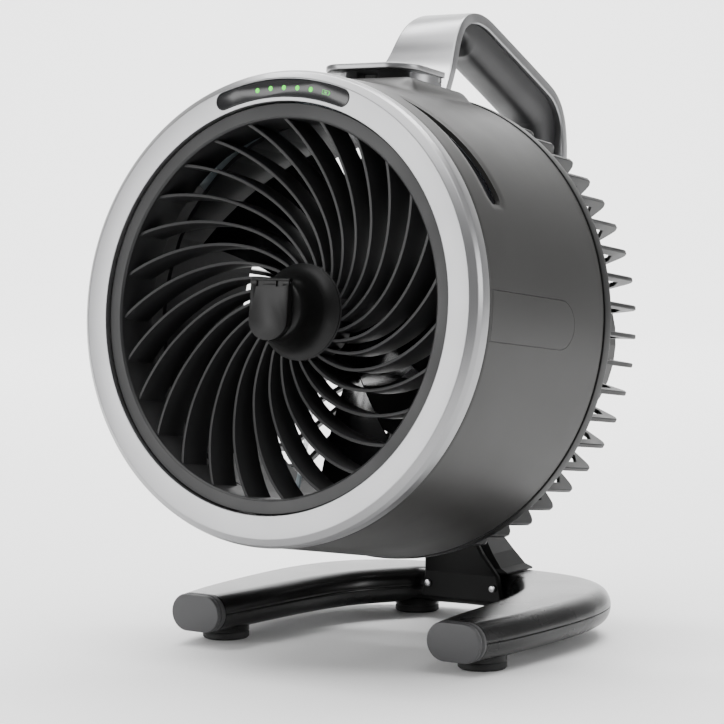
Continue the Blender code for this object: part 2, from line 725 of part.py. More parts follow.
def motor():
    can = [(0.0033, 0.1050), (MOTOR_R, 0.1060), (MOTOR_R, 0.1560), (0.0255, 0.1560)]
    can += [(0.0255, 0.1090), (0.0075, 0.1090), (0.0075, 0.1070), (0.0033, 0.1070)]
    solid("motor_housing", turned(can, 24, ring=True), HEAD, STEEL)
    stator = [(0.0110, 0.1150), (0.0250, 0.1150), (0.0250, 0.1450), (0.0110, 0.1450)]
    solid("motor_stator", turned(stator, 24, ring=True), HEAD, COPPER)
    for name, depth in (("bearing_front", 0.1095), ("bearing_rear", 0.1460)):
        race = [(0.0031, depth), (0.0065, depth), (0.0065, depth + 0.0040), (0.0031, depth + 0.0040)]
        solid(name, turned(race, 20, ring=True), HEAD, STEEL)
    cup = [(0.0, 0.1566), (0.0284, 0.1566), (0.0284, 0.1490), (0.0315, 0.1490)]
    cup += [(0.0315, 0.1592), (0.0, 0.1592)]
    solid("motor_mount", turned(cup, 32), HEAD, BLACK_PLASTIC)


def rear_grille():
    """Radial ribs that run along the rim, turn a round corner and run in to a centre disc."""
    band = [(0.1150, 0.1203), (0.1262, 0.1203), (0.1262, 0.1275), (0.1150, 0.1275)]
    cage = solid("rear_grille", turned(band, 50, ring=True), HEAD, BLACK_PLASTIC)
    outline = [(CAGE_R, 0.1240), (CAGE_R, 0.1570), (CAGE_R - 0.0045, 0.1652)]
    outline += [(CAGE_R - 0.0120, CAGE_REAR), (0.0610, CAGE_REAR)]
    outline += [(0.0610, 0.1625), (0.1110, 0.1625), (0.1168, 0.1560), (0.1168, 0.1240)]
    rib = prism([(d, r) for r, d in outline], -RIB_T / 2, RIB_T / 2, "x")
    join(cage, around(rib, RIBS, 180.0 / RIBS))
    disc = [(0.0120, 0.1600), (0.0640, 0.1600), (0.0640, 0.1686), (0.0120, 0.1686)]
    join(cage, turned(disc, 25, ring=True))


# Rear pod --------------------------------------------------------------------------------------


def rear_pod():
    inner = POD_R - POD_WALL
    profile = [(0.0100, POD_FRONT), (POD_R - 0.002, POD_FRONT), (POD_R, POD_FRONT + 0.002)]
    profile += [(POD_R, POD_SPLIT), (inner, POD_SPLIT), (inner, POD_FRONT + 0.0030)]
    profile += [(0.0100, POD_FRONT + 0.0030)]
    pod = solid("rear_pod", turned(profile, 36, ring=True), HEAD, CHARCOAL)
    join(pod, box(-SADDLE_HALF, SADDLE_HALF, 0.2300, 0.2535, *SADDLE_Z))
    void = POD_R - POD_WALL - 0.0001
    cut(pod, turned([(0.0, 0.18), (void, 0.18), (void, 0.26), (0.0, 0.26)], 36))


def pod_cover():
    inner, front = POD_R - POD_WALL, POD_SPLIT + GAP
    profile = [(0.0, POD_REAR), (0.0500, POD_REAR), (0.0570, 0.2695), (POD_R, 0.2640)]
    profile += [(POD_R, front), (inner, front), (inner, 0.2625), (0.0480, 0.2692), (0.0, 0.2692)]
    cover = solid("pod_cover", turned(profile, 36), HEAD, CHARCOAL)
    join(cover, box(-SADDLE_HALF, SADDLE_HALF, front, 0.2688, *SADDLE_Z))
    void = [(0.0, 0.25), (inner - 0.0001, 0.25), (inner - 0.0001, 0.2620), (0.0480, 0.2690)]
    cut(cover, turned(void + [(0.0, 0.2690)], 36))
    for x, _ in BUTTONS:
        cut(cover, rod(x, BUTTON_Z, 0.0065, 0.26, 0.28, "y", 14))
    cut(cover, box(-0.0075, 0.0075, 0.26, 0.28, -0.0350, -0.0250))


def buttons():
    """Round push buttons through the pod cover, each with a flange behind it."""
    for x, name in BUTTONS:
        profile = [(0.0, 0.2738), (0.0052, 0.2736), (0.0060, 0.2728), (0.0060, 0.2680), (0.0072, 0.2680)]
        profile += [(0.0072, 0.2665), (0.0, 0.2665)]
        frame = HEAD @ Matrix.Translation((x, 0, BUTTON_Z))
        key = solid(f"{name}_button", turned(profile, 14), frame, DARK_GREY)
        on_axis(f"{name}_button_axis", (x, 0.27, BUTTON_Z), [key])


def charge_inlet():
    inlet = solid("charge_inlet", box(-0.0072, 0.0072, 0.2625, 0.2712, -0.0347, -0.0253), HEAD, BLACK_PLASTIC)
    cut(inlet, box(-0.0045, 0.0045, 0.2650, 0.2750, -0.0315, -0.0285))


def pod_contents():
    cells = []
    for cx, cz in ((-0.0225, 0.0225), (0.0225, 0.0225), (-0.0225, -0.0225), (0.0225, -0.0225)):
        cells.append(rod(cx, cz, CELL_R, 0.1760, 0.2440, "y", 12))
    tray = box(-TRAY_HALF, TRAY_HALF, 0.2050, 0.2150, -TRAY_HALF, TRAY_HALF)
    pack = solid("battery_pack", tray, HEAD, BATTERY_BLUE)
    join(pack, merged(cells))
    board = rod(0, 0, 0.0500, 0.2500, 0.2516, "y", 24)
    solid("control_board", board, HEAD, BOARD_GREEN)


def head_bracket():
    """Arm from the pod's underside down to the knuckle that turns on the tilt pin."""
    c, s = math.cos(TILT), math.sin(TILT)
    dy, dz = LEG_Y + PIVOT_Y - HEAD_Y, PIVOT_Z - HEAD_Z
    d, z = dy * c - dz * s, dy * s + dz * c
    arm = [(d - 0.0085, z + 0.0060), (d - 0.0085, -0.0605), (d + 0.0350, -0.0605), (d + 0.0350, -0.0680)]
    arm += [(d + 0.0085, -0.0860), (d + 0.0085, z + 0.0060)]
    bracket = solid("head_bracket", prism(arm, -0.0116, 0.0116, "x"), HEAD, DARK_GREY)
    join(bracket, rod(d, z, 0.0108, -0.0117, 0.0117, "x", 24))
    cut(bracket, rod(d, z, PIVOT_PIN_R + 0.00005, -0.02, 0.02, "x", 24))


# Water system ----------------------------------------------------------------------------------


def water_tank():
    """Crescent tank over the duct, with a filler neck that rises under the lid."""
    outer = [(0.1050, 0.0520), (0.1178, 0.0520), (0.1206, 0.1050), (0.1050, 0.1050)]
    tank = solid("water_tank", turned_sector(outer, 20, 38, 142), HEAD, CLEAR)
    neck = rod(0, FILL_D, 0.0112, 0.1120, 0.1252, "z", 20)
    join(tank, neck)
    inner = [(0.1064, 0.0534), (0.1164, 0.0534), (0.1192, 0.1036), (0.1064, 0.1036)]
    cut(tank, turned_sector(inner, 20, 39, 141))
    cut(tank, rod(0, FILL_D, 0.0098, 0.1100, 0.1300, "z", 20))


def water_pump():
    x, _, z = polar(0.1112, 252, 0)
    pump = solid("water_pump", rod(x, z, 0.0055, 0.0560, 0.0860, "y", 12), HEAD, DARK_GREY)
    join(pump, rod(x, z, 0.0018, 0.0520, 0.0570, "y", 8))


def supply_hose():
    path = []
    for k in range(11):
        path.append(polar(0.1125, 34.0 - 100.0 * k / 10, 0.0950))
    solid("supply_hose", tube(path, 0.0022, 1), HEAD, CLEAR)


# Fill lid --------------------------------------------------------------------------------------


def lid_outline(half, front, rear, corner, steps=5):
    right = [(half, rear)]
    for k in range(steps + 1):
        a = math.pi / 2 * k / steps
        right.append((half - corner + corner * math.cos(a), front + corner - corner * math.sin(a)))
    return right + [(-x, d) for x, d in reversed(right)]


def fill_lid():
    plate = lid_outline(LID_HALF_W, LID_FRONT, LID_REAR, 0.0150)
    lid = solid("fill_lid", prism(plate, LID_STEP, LID_TOP, "z"), HEAD, SILVER)
    body = lid_outline(0.0275, 0.0765, 0.1070, 0.0230)
    join(lid, prism(body, LID_BOTTOM, LID_STEP + 0.0008, "z"))
    cut(lid, box(-0.0066, 0.0066, 0.0600, 0.0800, 0.1200, 0.1308))
    cut(lid, box(-0.0178, 0.0178, 0.0995, 0.1200, 0.1200, 0.1330))
    cut(lid, rod(0, FILL_D, 0.0095, 0.1200, 0.1300, "z", 20))
    cut(lid, rod(LID_AXIS[0], LID_AXIS[1], 0.0017, -0.04, 0.04, "x", 12))
    ring = [(0.0065, 0.1263), (0.0092, 0.1263), (0.0092, 0.1296), (0.0065, 0.1296)]
    up = HEAD @ Matrix.Translation((0, FILL_D, 0)) @ Y_TO_Z
    seal = solid("lid_gasket", turned(ring, 20, ring=True), up, RUBBER)
    on_axis("lid_axis", (0, LID_AXIS[0], LID_AXIS[1]), [lid, seal])


def lid_hinge_pin():
    shape = rod(LID_AXIS[0], LID_AXIS[1], 0.0014, -0.0272, 0.0272, "x", 12)
    solid("lid_hinge_pin", shape, HEAD, STEEL)


# Handle ----------------------------------------------------------------------------------------


def strap_frames():
    """Outer point, inward normal and half-width at each station of the strap."""
    frames = []
    for i, (d, z, half) in enumerate(STRAP):
        before, after = STRAP[max(i - 1, 0)], STRAP[min(i + 1, len(STRAP) - 1)]
        t = Vector((after[0] - before[0], after[1] - before[1])).normalized()
        inward = Vector((1.3, 0.0)) if i == 0 else Vector((t.y, -t.x))
        frames.append((Vector((d, z)), inward, half))
    return frames


def handle_strap():
    sections = []
    for spot, inward, half in strap_frames():
        c = 0.0008
        section = []
        side = [(half - c, 0), (half, c), (half, STRAP_T)]
        for x, deep in side + [(-x, deep) for x, deep in reversed(side)]:
            p = spot + inward * deep
            section.append((x, p.x, p.y))
        sections.append(section)
    solid("handle_strap", loft(sections), HEAD, SILVER)


def handle_grip():
    """Soft filler under the strap with a rounded lower side."""
    sections = []
    stations = strap_frames()[GRIP_FIRST:]
    level = len(stations) - len(GRIP_LEAD_IN) - len(GRIP_LEAD_OUT)
    depths = GRIP_LEAD_IN + (GRIP_DEEPEST,) * level + GRIP_LEAD_OUT
    for (spot, inward, half), deep in zip(stations, depths):
        wide = min(half - 0.0022, 0.0132)
        section = []
        for x, t in ((1.0, 0.0), (1.0, 0.40), (0.80, 0.75), (0.42, 0.95), (0.0, 1.0)):
            section.append((x * wide, STRAP_T + GAP + t * deep))
        section += [(-x, t) for x, t in reversed(section[:-1])]
        points = []
        for x, t in section:
            p = spot + inward * t
            points.append((x, p.x, p.y))
        sections.append(points)
    solid("handle_grip", loft(sections), HEAD, SOFT_GRIP)


def handle_screws():
    head = [(0.0, 0.0), (0.0020, 0.0002), (0.0026, 0.0010), (0.0026, 0.0018), (0.0, 0.0018)]
    for hand, side in (("l", -1), ("r", 1)):
        frame = HEAD @ Matrix.Translation((side * 0.0110, 0.2690, 0.0720)) @ Matrix.Rotation(math.pi, 4, "Z")
        frame = frame @ Matrix.Translation((0, -0.0018, 0))
        solid(f"handle_screw_{hand}", turned(head, 12), frame, STEEL)


clear_scene()
PARTS = collection("misting_table_fan")
CUTTERS = collection("cutters")
CUTTERS.hide_render = True

SILVER = material("satin_silver", (0.62, 0.62, 0.63), 0.9, 0.38)
CHARCOAL = material("charcoal", (0.075, 0.075, 0.077), 0.3, 0.42)
BLACK_PLASTIC = material("black_plastic", (0.018, 0.018, 0.019), 0.0, 0.38)
DARK_GREY = material("dark_grey_plastic", (0.07, 0.07, 0.072), 0.0, 0.45)
CAP_GREY = material("cap_grey", (0.06, 0.06, 0.062), 0.0, 0.5)
GLOSS_BLACK = material("gloss_black", (0.01, 0.01, 0.011), 0.0, 0.12)
SOFT_GRIP = material("soft_grip", (0.03, 0.03, 0.031), 0.0, 0.6)
RUBBER = material("rubber", (0.02, 0.02, 0.02), 0.0, 0.8)
STEEL = material("steel", (0.55, 0.55, 0.56), 1.0, 0.3)
COPPER = material("copper_windings", (0.45, 0.2, 0.08), 0.9, 0.4)
LED_GREEN = material("led_green", (0.12, 0.8, 0.15), 0.0, 0.3)
CLEAR = material("clear_plastic", (0.6, 0.7, 0.75), 0.0, 0.1, 0.4)
BATTERY_BLUE = material("battery_blue", (0.03, 0.08, 0.3), 0.0, 0.4)
BOARD_GREEN = material("board_green", (0.01, 0.14, 0.05), 0.0, 0.5)

base_shells()
end_caps()
foot_pads()
neck_post()
neck_cover()
neck_screws()
tilt_pin()
tilt_washers()
bezel_ring()
display_window()
light_guide()
drum_shell()
slot_inserts()
side_panels()
front_grille()
hub_housing()
mist_nozzle()
nozzle_cover()
nozzle_hinge_pin()
mist_feed_line()
duct_shroud()
impeller()
motor()
rear_grille()
rear_pod()
pod_cover()
buttons()
charge_inlet()
pod_contents()
head_bracket()
water_tank()
water_pump()
supply_hose()
fill_lid()
lid_hinge_pin()
handle_strap()
handle_grip()
handle_screws()
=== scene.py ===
"""Looks of the misting table fan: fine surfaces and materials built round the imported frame.
Metres, +Z up. Pieces of the head are made in the head frame: X across, Y behind the bezel's face, Z up."""

import json
import math

import bmesh
import bpy
from mathutils import Matrix, Vector


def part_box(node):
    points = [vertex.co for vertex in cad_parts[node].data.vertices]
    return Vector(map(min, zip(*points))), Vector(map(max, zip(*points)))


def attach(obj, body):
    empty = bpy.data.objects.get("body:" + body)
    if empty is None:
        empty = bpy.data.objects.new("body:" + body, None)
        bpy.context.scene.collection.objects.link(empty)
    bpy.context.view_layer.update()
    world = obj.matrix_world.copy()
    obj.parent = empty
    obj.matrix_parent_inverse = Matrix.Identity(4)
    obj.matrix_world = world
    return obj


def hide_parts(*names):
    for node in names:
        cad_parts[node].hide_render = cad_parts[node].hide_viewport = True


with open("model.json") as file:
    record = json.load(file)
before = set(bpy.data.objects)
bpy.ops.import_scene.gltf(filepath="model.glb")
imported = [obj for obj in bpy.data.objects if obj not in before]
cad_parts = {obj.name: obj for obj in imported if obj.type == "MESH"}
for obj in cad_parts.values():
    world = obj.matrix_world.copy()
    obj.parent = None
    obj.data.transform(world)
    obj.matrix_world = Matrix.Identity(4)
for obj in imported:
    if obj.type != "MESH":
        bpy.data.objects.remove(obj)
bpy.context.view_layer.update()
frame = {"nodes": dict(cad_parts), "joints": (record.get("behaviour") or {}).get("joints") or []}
JOINTS = {joint["name"]: joint for joint in frame["joints"]}

# The head frame, from the impeller's axis: its point lies this far behind the bezel's face.
SPIN_DEPTH = 0.0800
SPIN_AXIS = Vector(JOINTS["impeller_spin"]["axis"]).normalized()
FACE_CENTRE = Vector(JOINTS["impeller_spin"]["pos_m"]) - SPIN_DEPTH * SPIN_AXIS
ACROSS = Vector((1.0, 0.0, 0.0))
HEAD_TURN = Matrix((ACROSS, SPIN_AXIS, ACROSS.cross(SPIN_AXIS))).transposed()
HEAD = Matrix.Translation(FACE_CENTRE) @ HEAD_TURN.to_4x4()
WORLD = Matrix.Identity(4)
LEG_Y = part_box("end_cap_r")[0].y
GAP = 0.0003
WELD = 0.000002

# Bezel, drum and display, as the CAD holds them.
BEZEL_IN, BEZEL_FLAT, BEZEL_OUT, BEZEL_REAR = 0.1037, 0.1155, 0.1200, 0.0120
SHELL_FRONT, SHELL_REAR, SHELL_R0, SHELL_R1, SHELL_WALL = 0.0125, 0.1200, 0.1198, 0.1256, 0.0030
DISPLAY_R, DISPLAY_HALF_H, DISPLAY_HALF_ANGLE = 0.1103, 0.0044, 19.0
LED_ANGLES = (8.0, 3.8, -0.4, -4.65, -8.9)
LED_R = 0.0013
ICON_ANGLE = -13.8
PAD_TOP = 0.1258
PANEL_DEEP = 0.0012
INSERT_LOW, INSERT_HIGH = 0.1166, 0.1180

# Grille, impeller and cage.
VANES, VANE_PHASE, VANE_T = 27, 7.5, 0.0016
RIM_IN, RIM_OUT, RIM_FRONT, RIM_REAR = 0.0955, 0.1031, 0.0026, 0.0290
VANE_STATIONS = (
    # radius, sweep angle, front depth, rear depth
    (0.0238, -3.0, 0.0285, 0.0405),
    (0.0330, 8.5, 0.0262, 0.0400),
    (0.0450, 20.0, 0.0228, 0.0385),
    (0.0600, 32.5, 0.0180, 0.0355),
    (0.0770, 44.5, 0.0118, 0.0310),
    (0.0965, 57.0, 0.0050, 0.0250),
)
BLADES, BLADE_PHASE, BLADE_SPAN = 5, 249.0, 47.0
BLADE_RADII = (0.0325, 0.0500, 0.0670, 0.0840, 0.0985)
BLADE_LEAN = (0.0, 1.5, 3.0, 4.5, 6.0)
BLADE_FRONT, BLADE_PITCH, BLADE_CAMBER, BLADE_T = 0.0640, 0.0290, 0.0040, 0.0020
RIBS, RIB_T, CAGE_R, CAGE_REAR = 50, 0.0024, 0.1225, 0.1680

# Fill lid and handle.
LID_HALF_W, LID_FRONT, LID_REAR = 0.0290, 0.0700, 0.1080
LID_BOTTOM, LID_STEP, LID_TOP = 0.1266, 0.1312, 0.1345
LID_AXIS = (0.1050, 0.1300)
LID_PIN_HOLE_R = 0.0017
LUG_HALF_W, LUG_FRONT, LUG_REAR, LUG_TOP = 0.0170, 0.1010, 0.1068, 0.1322
LUG_ROOT, LUG_CORNER = 0.1200, 0.0008
FILL_D, FILL_HOLE_R = 0.0885, 0.0122
STRAP_T = 0.0060
STRAP = (
    # depth, height, half-width of the strap's outer face
    (0.1092, 0.1262, 0.0290),
    (0.1186, 0.1350, 0.0252),
    (0.1248, 0.1418, 0.0225),
    (0.1289, 0.1490, 0.0208),
    (0.1325, 0.1566, 0.0196),
    (0.1363, 0.1630, 0.0187),
    (0.1412, 0.1686, 0.0177),
    (0.1475, 0.1728, 0.0167),
    (0.1552, 0.1756, 0.0158),
    (0.1645, 0.1767, 0.0155),
    (0.1735, 0.1756, 0.0155),
    (0.1815, 0.1732, 0.0156),
    (0.2484, 0.1498, 0.0165),
    (0.2562, 0.1455, 0.0168),
    (0.2620, 0.1398, 0.0171),
    (0.2660, 0.1325, 0.0175),
    (0.2680, 0.1240, 0.0180),
    (0.2685, 0.1130, 0.0188),
    (0.2685, 0.0612, 0.0200),
)

# Base.
LEG_X, CAP_Z = 0.0806, 0.0171
BASE_LOW, BASE_SPLIT, BASE_HIGH = 0.0070, 0.0172, 0.0272
BASE_PLAN = (
    # outer x, outer y, inner x, inner y, with y counted from the leg ends
    (0.0968, 0.0062, 0.0642, 0.0062),
    (0.0995, 0.0200, 0.0626, 0.0200),
    (0.1020, 0.0400, 0.0606, 0.0440),
    (0.1038, 0.0680, 0.0584, 0.0740),
    (0.1044, 0.0920, 0.0552, 0.0960),
    (0.1030, 0.1150, 0.0500, 0.1150),
    (0.0972, 0.1400, 0.0410, 0.1310),
    (0.0850, 0.1600, 0.0330, 0.1420),
    (0.0640, 0.1755, 0.0278, 0.1492),
    (0.0350, 0.1838, 0.0150, 0.1496),
    (0.0000, 0.1862, 0.0000, 0.1498),
)
PADS = ((0.0810, 0.0290, "f"), (0.0400, 0.1620, "r"))
PAD_R, PAD_H = 0.0127, 0.0040

ROUND = 192


# Mesh tools --------------------------------------------------------------------------------------


def polar(radius, degrees, depth):
    a = math.radians(degrees)
    return Vector((radius * math.cos(a), depth, radius * math.sin(a)))


def curve_through(points, steps):
    """Points along a smooth curve through the given ones, with the same number between each pair."""
    rows = [Vector(p) for p in points]
    made = []
    for i in range(len(rows) - 1):
        before, a, b, after = rows[max(i - 1, 0)], rows[i], rows[i + 1], rows[min(i + 2, len(rows) - 1)]
        gap = (b - a).length
        lead = (b - before) / max((b - before).length, 1e-9) * gap
        trail = (after - a) / max((after - a).length, 1e-9) * gap
        for k in range(steps):
            t = k / steps
            h = ((2 * t - 3) * t * t + 1, (t - 2) * t * t + t, (3 - 2 * t) * t * t, (t - 1) * t * t)
            made.append(a * h[0] + lead * h[1] + b * h[2] + trail * h[3])
    made.append(rows[-1])
    return made


def piece(name, work, place, body, mat, sharp=35.0):
    """Object of a bmesh with smooth faces, riding on a body. Its mesh is moved to its place in the world."""
    bmesh.ops.remove_doubles(work, verts=work.verts, dist=WELD)
    bmesh.ops.recalc_face_normals(work, faces=work.faces)
    mesh = bpy.data.meshes.new(name)
    work.to_mesh(mesh)
    work.free()
    mesh.transform(place)
    mesh.materials.append(mat)
    mesh.shade_smooth()
    mesh.set_sharp_from_angle(angle=math.radians(sharp))
    obj = bpy.data.objects.new(name, mesh)
    bpy.context.scene.collection.objects.link(obj)
    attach(obj, body)
    return obj


def helper(name, work, place):
    """Cutter for one Boolean, removed once it is applied."""
    bmesh.ops.recalc_face_normals(work, faces=work.faces)
    mesh = bpy.data.meshes.new(name)
    work.to_mesh(mesh)
    work.free()
    mesh.transform(place)
    obj = bpy.data.objects.new(name, mesh)
    bpy.context.scene.collection.objects.link(obj)
    return obj


def applied(obj, sharp=35.0):
    """Bakes the modifiers of an object into its mesh."""
    bpy.context.view_layer.update()
    graph = bpy.context.evaluated_depsgraph_get()
    mesh = bpy.data.meshes.new_from_object(obj.evaluated_get(graph))
    obj.modifiers.clear()
    obj.data = mesh
    mesh.shade_smooth()
    mesh.set_sharp_from_angle(angle=math.radians(sharp))
    return obj


def cut(obj, work, operation="DIFFERENCE"):
    """One Boolean with a bmesh in the head's frame."""
    tool = helper(obj.name + "_tool", work, HEAD)
    modifier = obj.modifiers.new("cut", "BOOLEAN")
    modifier.operation = operation
    modifier.solver = "EXACT"
    modifier.object = tool
    applied(obj)
    bpy.data.objects.remove(tool)
    return obj


def rounded(obj, width, segments=3, angle=30.0):
    """Rounds the edges sharper than an angle."""
    bevel = obj.modifiers.new("edges", "BEVEL")
    bevel.width = width
    bevel.segments = segments
    bevel.limit_method = "ANGLE"
    bevel.angle_limit = math.radians(angle)
    bevel.harden_normals = True
    return applied(obj, 50.0)


def lathe(profile, sides=ROUND, ring=False, work=None):
    """Profile of (radius, depth) turned about the Y axis."""
    work = work or bmesh.new()
    rows = []
    for radius, depth in profile:
        if radius < 1e-7:
            rows.append([work.verts.new((0.0, depth, 0.0))] * sides)
        else:
            rows.append([work.verts.new(polar(radius, 360.0 * k / sides, depth)) for k in range(sides)])
    pairs = list(zip(rows, rows[1:]))
    if ring:
        pairs.append((rows[-1], rows[0]))
    for low, high in pairs:
        for k in range(sides):
            n = (k + 1) % sides
            corners = []
            for vert in (low[k], low[n], high[n], high[k]):
                if vert not in corners:
                    corners.append(vert)
            if len(corners) > 2:
                work.faces.new(corners)
    return work


def loft(sections, work=None, closed=False):
    """Matching closed sections joined in order. A closed one runs back to its first section."""
    work = work or bmesh.new()
    rings = [[work.verts.new(p) for p in section] for section in sections]
    pairs = list(zip(rings, rings[1:]))
    if closed:
        pairs.append((rings[-1], rings[0]))
    for low, high in pairs:
        for i in range(len(low)):
            n = (i + 1) % len(low)
            work.faces.new((low[i], low[n], high[n], high[i]))
    if not closed:
        work.faces.new(rings[0])
        work.faces.new(rings[-1])
    return work


def block(x0, x1, y0, y1, z0, z1, work=None):
    work = work or bmesh.new()
    centre = Matrix.Translation(((x0 + x1) / 2, (y0 + y1) / 2, (z0 + z1) / 2))
    size = Matrix.Diagonal((x1 - x0, y1 - y0, z1 - z0, 1.0))
    bmesh.ops.create_cube(work, size=1.0, matrix=centre @ size)
    return work


def slab(outline, low, high, along, work=None):
    """Closed outline carried along an axis: "x" takes (y, z), "y" takes (x, z), "z" takes (x, y)."""
    place = {
        "x": lambda a, b, c: (c, a, b),
        "y": lambda a, b, c: (a, c, b),
        "z": lambda a, b, c: (a, b, c),
    }[along]
    return loft([[place(a, b, c) for a, b in outline] for c in (low, high)], work)


def circle(cx, cy, radius, sides=48):
    steps = [2 * math.pi * k / sides for k in range(sides)]
    return [(cx + radius * math.cos(a), cy + radius * math.sin(a)) for a in steps]


def around(make, count, start, work):
    """Copies of what make adds to a bmesh, spaced evenly about the Y axis."""
    for k in range(count):
        known = set(work.verts)
        make(work)
        turn = Matrix.Rotation(-math.radians(start + 360.0 * k / count), 4, "Y")
        bmesh.ops.transform(work, matrix=turn, verts=[v for v in work.verts if v not in known])
    return work


# Materials -----------------------------------------------------------------------------------------


class Nodes:
    """A material's node tree, with short calls for the nodes that every finish here uses."""

    def __init__(self, name):
        self.material = bpy.data.materials.new(name)
        self.material.use_nodes = True
        self.tree = self.material.node_tree
        self.shader = self.tree.nodes["Principled BSDF"]
        self.place = self.add("ShaderNodeTexCoord").outputs["Object"]

    def add(self, kind, **settings):
        node = self.tree.nodes.new(kind)
        for name, value in settings.items():
            setattr(node, name, value)
        return node

    def link(self, start, end):
        self.tree.links.new(start, end)

    def noise(self, scale, detail=4.0, roughness=0.55, stretch=(1, 1, 1)):
        mapping = self.add("ShaderNodeMapping")
        mapping.inputs["Scale"].default_value = stretch
        self.link(self.place, mapping.inputs["Vector"])
        noise = self.add("ShaderNodeTexNoise")
        noise.inputs["Scale"].default_value = scale
        noise.inputs["Detail"].default_value = detail
        noise.inputs["Roughness"].default_value = roughness
        self.link(mapping.outputs["Vector"], noise.inputs["Vector"])
        return noise.outputs["Fac"]

    def spread(self, value, low, high):
        """A noise value mapped from its middle range to two limits."""
        node = self.add("ShaderNodeMapRange")
        node.inputs["From Min"].default_value = 0.3
        node.inputs["From Max"].default_value = 0.7
        node.inputs["To Min"].default_value = low
        node.inputs["To Max"].default_value = high
        self.link(value, node.inputs["Value"])
        return node.outputs["Result"]

    def tint(self, value, dark, light):
        ramp = self.add("ShaderNodeValToRGB")
        ramp.color_ramp.elements[0].position = 0.3
        ramp.color_ramp.elements[1].position = 0.7
        ramp.color_ramp.elements[0].color = (*dark, 1.0)
        ramp.color_ramp.elements[1].color = (*light, 1.0)
        self.link(value, ramp.inputs["Fac"])
        self.link(ramp.outputs["Color"], self.shader.inputs["Base Color"])

    def bump(self, value, strength, distance):
        node = self.add("ShaderNodeBump")
        node.inputs["Strength"].default_value = strength
        node.inputs["Distance"].default_value = distance
        self.link(value, node.inputs["Height"])
        self.link(node.outputs["Normal"], self.shader.inputs["Normal"])

    def set(self, **values):
        for name, value in values.items():
            self.shader.inputs[name.replace("_", " ")].default_value = value


def finish(name, colour, roughness, metallic, grain, grain_depth, uneven, drift, **more):
    """Moulded or painted surface: fine grain, drifting roughness and a little colour variation."""
    nodes = Nodes(name)
    wide = nodes.noise(drift, 5.0)
    fine = nodes.noise(grain, 2.0)
    dark = tuple(c * (1 - uneven) for c in colour)
    light = tuple(min(c * (1 + uneven), 1.0) for c in colour)
    nodes.tint(wide, dark, light)
    nodes.link(nodes.spread(wide, roughness * 0.88, roughness * 1.12), nodes.shader.inputs["Roughness"])
    nodes.bump(fine, 0.25, grain_depth)
    nodes.set(Metallic=metallic, **more)
    return nodes.material


def brushed(name, colour, roughness, stretch):
    """Metal with fine lines along one direction."""
    nodes = Nodes(name)
    lines = nodes.noise(900.0, 3.0, 0.6, stretch)
    nodes.tint(lines, tuple(c * 0.86 for c in colour), colour)
    nodes.link(nodes.spread(lines, roughness * 0.8, roughness * 1.25), nodes.shader.inputs["Roughness"])
    nodes.bump(lines, 0.2, 0.00002)
    nodes.set(Metallic=1.0)
    return nodes.material


def windings(name):
    """Enamelled wire laid round the axis."""
    nodes = Nodes(name)
    wave = nodes.add("ShaderNodeTexWave", wave_type="BANDS", bands_direction="Y")
    wave.inputs["Scale"].default_value = 420.0
    wave.inputs["Distortion"].default_value = 1.2
    nodes.link(nodes.place, wave.inputs["Vector"])
    nodes.tint(wave.outputs["Fac"], (0.22, 0.08, 0.02), (0.62, 0.27, 0.10))
    nodes.link(nodes.spread(wave.outputs["Fac"], 0.45, 0.28), nodes.shader.inputs["Roughness"])
    nodes.bump(wave.outputs["Fac"], 0.6, 0.0002)
    nodes.set(Metallic=0.85)
    return nodes.material


def lamp(name, colour, strength):
    """Lit lens with a slightly uneven glow."""
    nodes = Nodes(name)
    nodes.tint(nodes.noise(1500.0), tuple(c * 0.7 for c in colour), colour)
    nodes.link(nodes.spread(nodes.noise(900.0), 0.22, 0.34), nodes.shader.inputs["Roughness"])
    nodes.set(Emission_Color=(*colour, 1.0), Emission_Strength=strength)
    return nodes.material


SILVER = finish("satin_silver_paint", (0.27, 0.27, 0.275), 0.33, 0.90, 2600.0, 0.000012, 0.03, 18.0)
CHARCOAL = finish(
    "charcoal_paint", (0.022, 0.0215, 0.0207),
    0.42, 0.08, 2200.0, 0.000015, 0.05, 14.0, Specular_IOR_Level=0.35,
)
BLACK = finish(
    "satin_black_plastic", (0.005, 0.005, 0.005),
    0.40, 0.0, 1500.0, 0.00002, 0.12, 25.0, Specular_IOR_Level=0.22,
)
BASE_BLACK = finish(
    "base_black_plastic", (0.006, 0.006, 0.006),
    0.26, 0.0, 1600.0, 0.000012, 0.10, 18.0, Specular_IOR_Level=0.32,
)
GRILLE_GREY = finish(
    "grille_grey_plastic", (0.012, 0.012, 0.0125),
    0.42, 0.0, 1600.0, 0.00002, 0.08, 30.0, Specular_IOR_Level=0.35,
)
DARK_GREY = finish("dark_grey_plastic", (0.022, 0.022, 0.023), 0.46, 0.0, 1400.0, 0.00003, 0.10, 30.0)
CAP_GREY = finish("cap_grey_plastic", (0.040, 0.040, 0.042), 0.50, 0.0, 1500.0, 0.00003, 0.06, 40.0)
GLOSS = finish(
    "gloss_black_plastic", (0.004, 0.004, 0.005),
    0.24, 0.0, 900.0, 0.000006, 0.15, 20.0, Specular_IOR_Level=0.35,
)
GLOSS_FLAT = finish("display_black_plastic", (0.006, 0.006, 0.007), 0.22, 0.0, 900.0, 0.000004, 0.15, 20.0)
SOFT = finish("soft_touch_grip", (0.011, 0.011, 0.012), 0.48, 0.0, 1900.0, 0.00005, 0.14, 35.0)
RUBBER = finish("pad_rubber", (0.012, 0.012, 0.012), 0.70, 0.0, 1100.0, 0.00008, 0.2, 60.0)
CLEAR = finish("clear_plastic", (0.55, 0.66, 0.72), 0.10, 0.0, 700.0, 0.000008, 0.05, 30.0, Alpha=0.45)
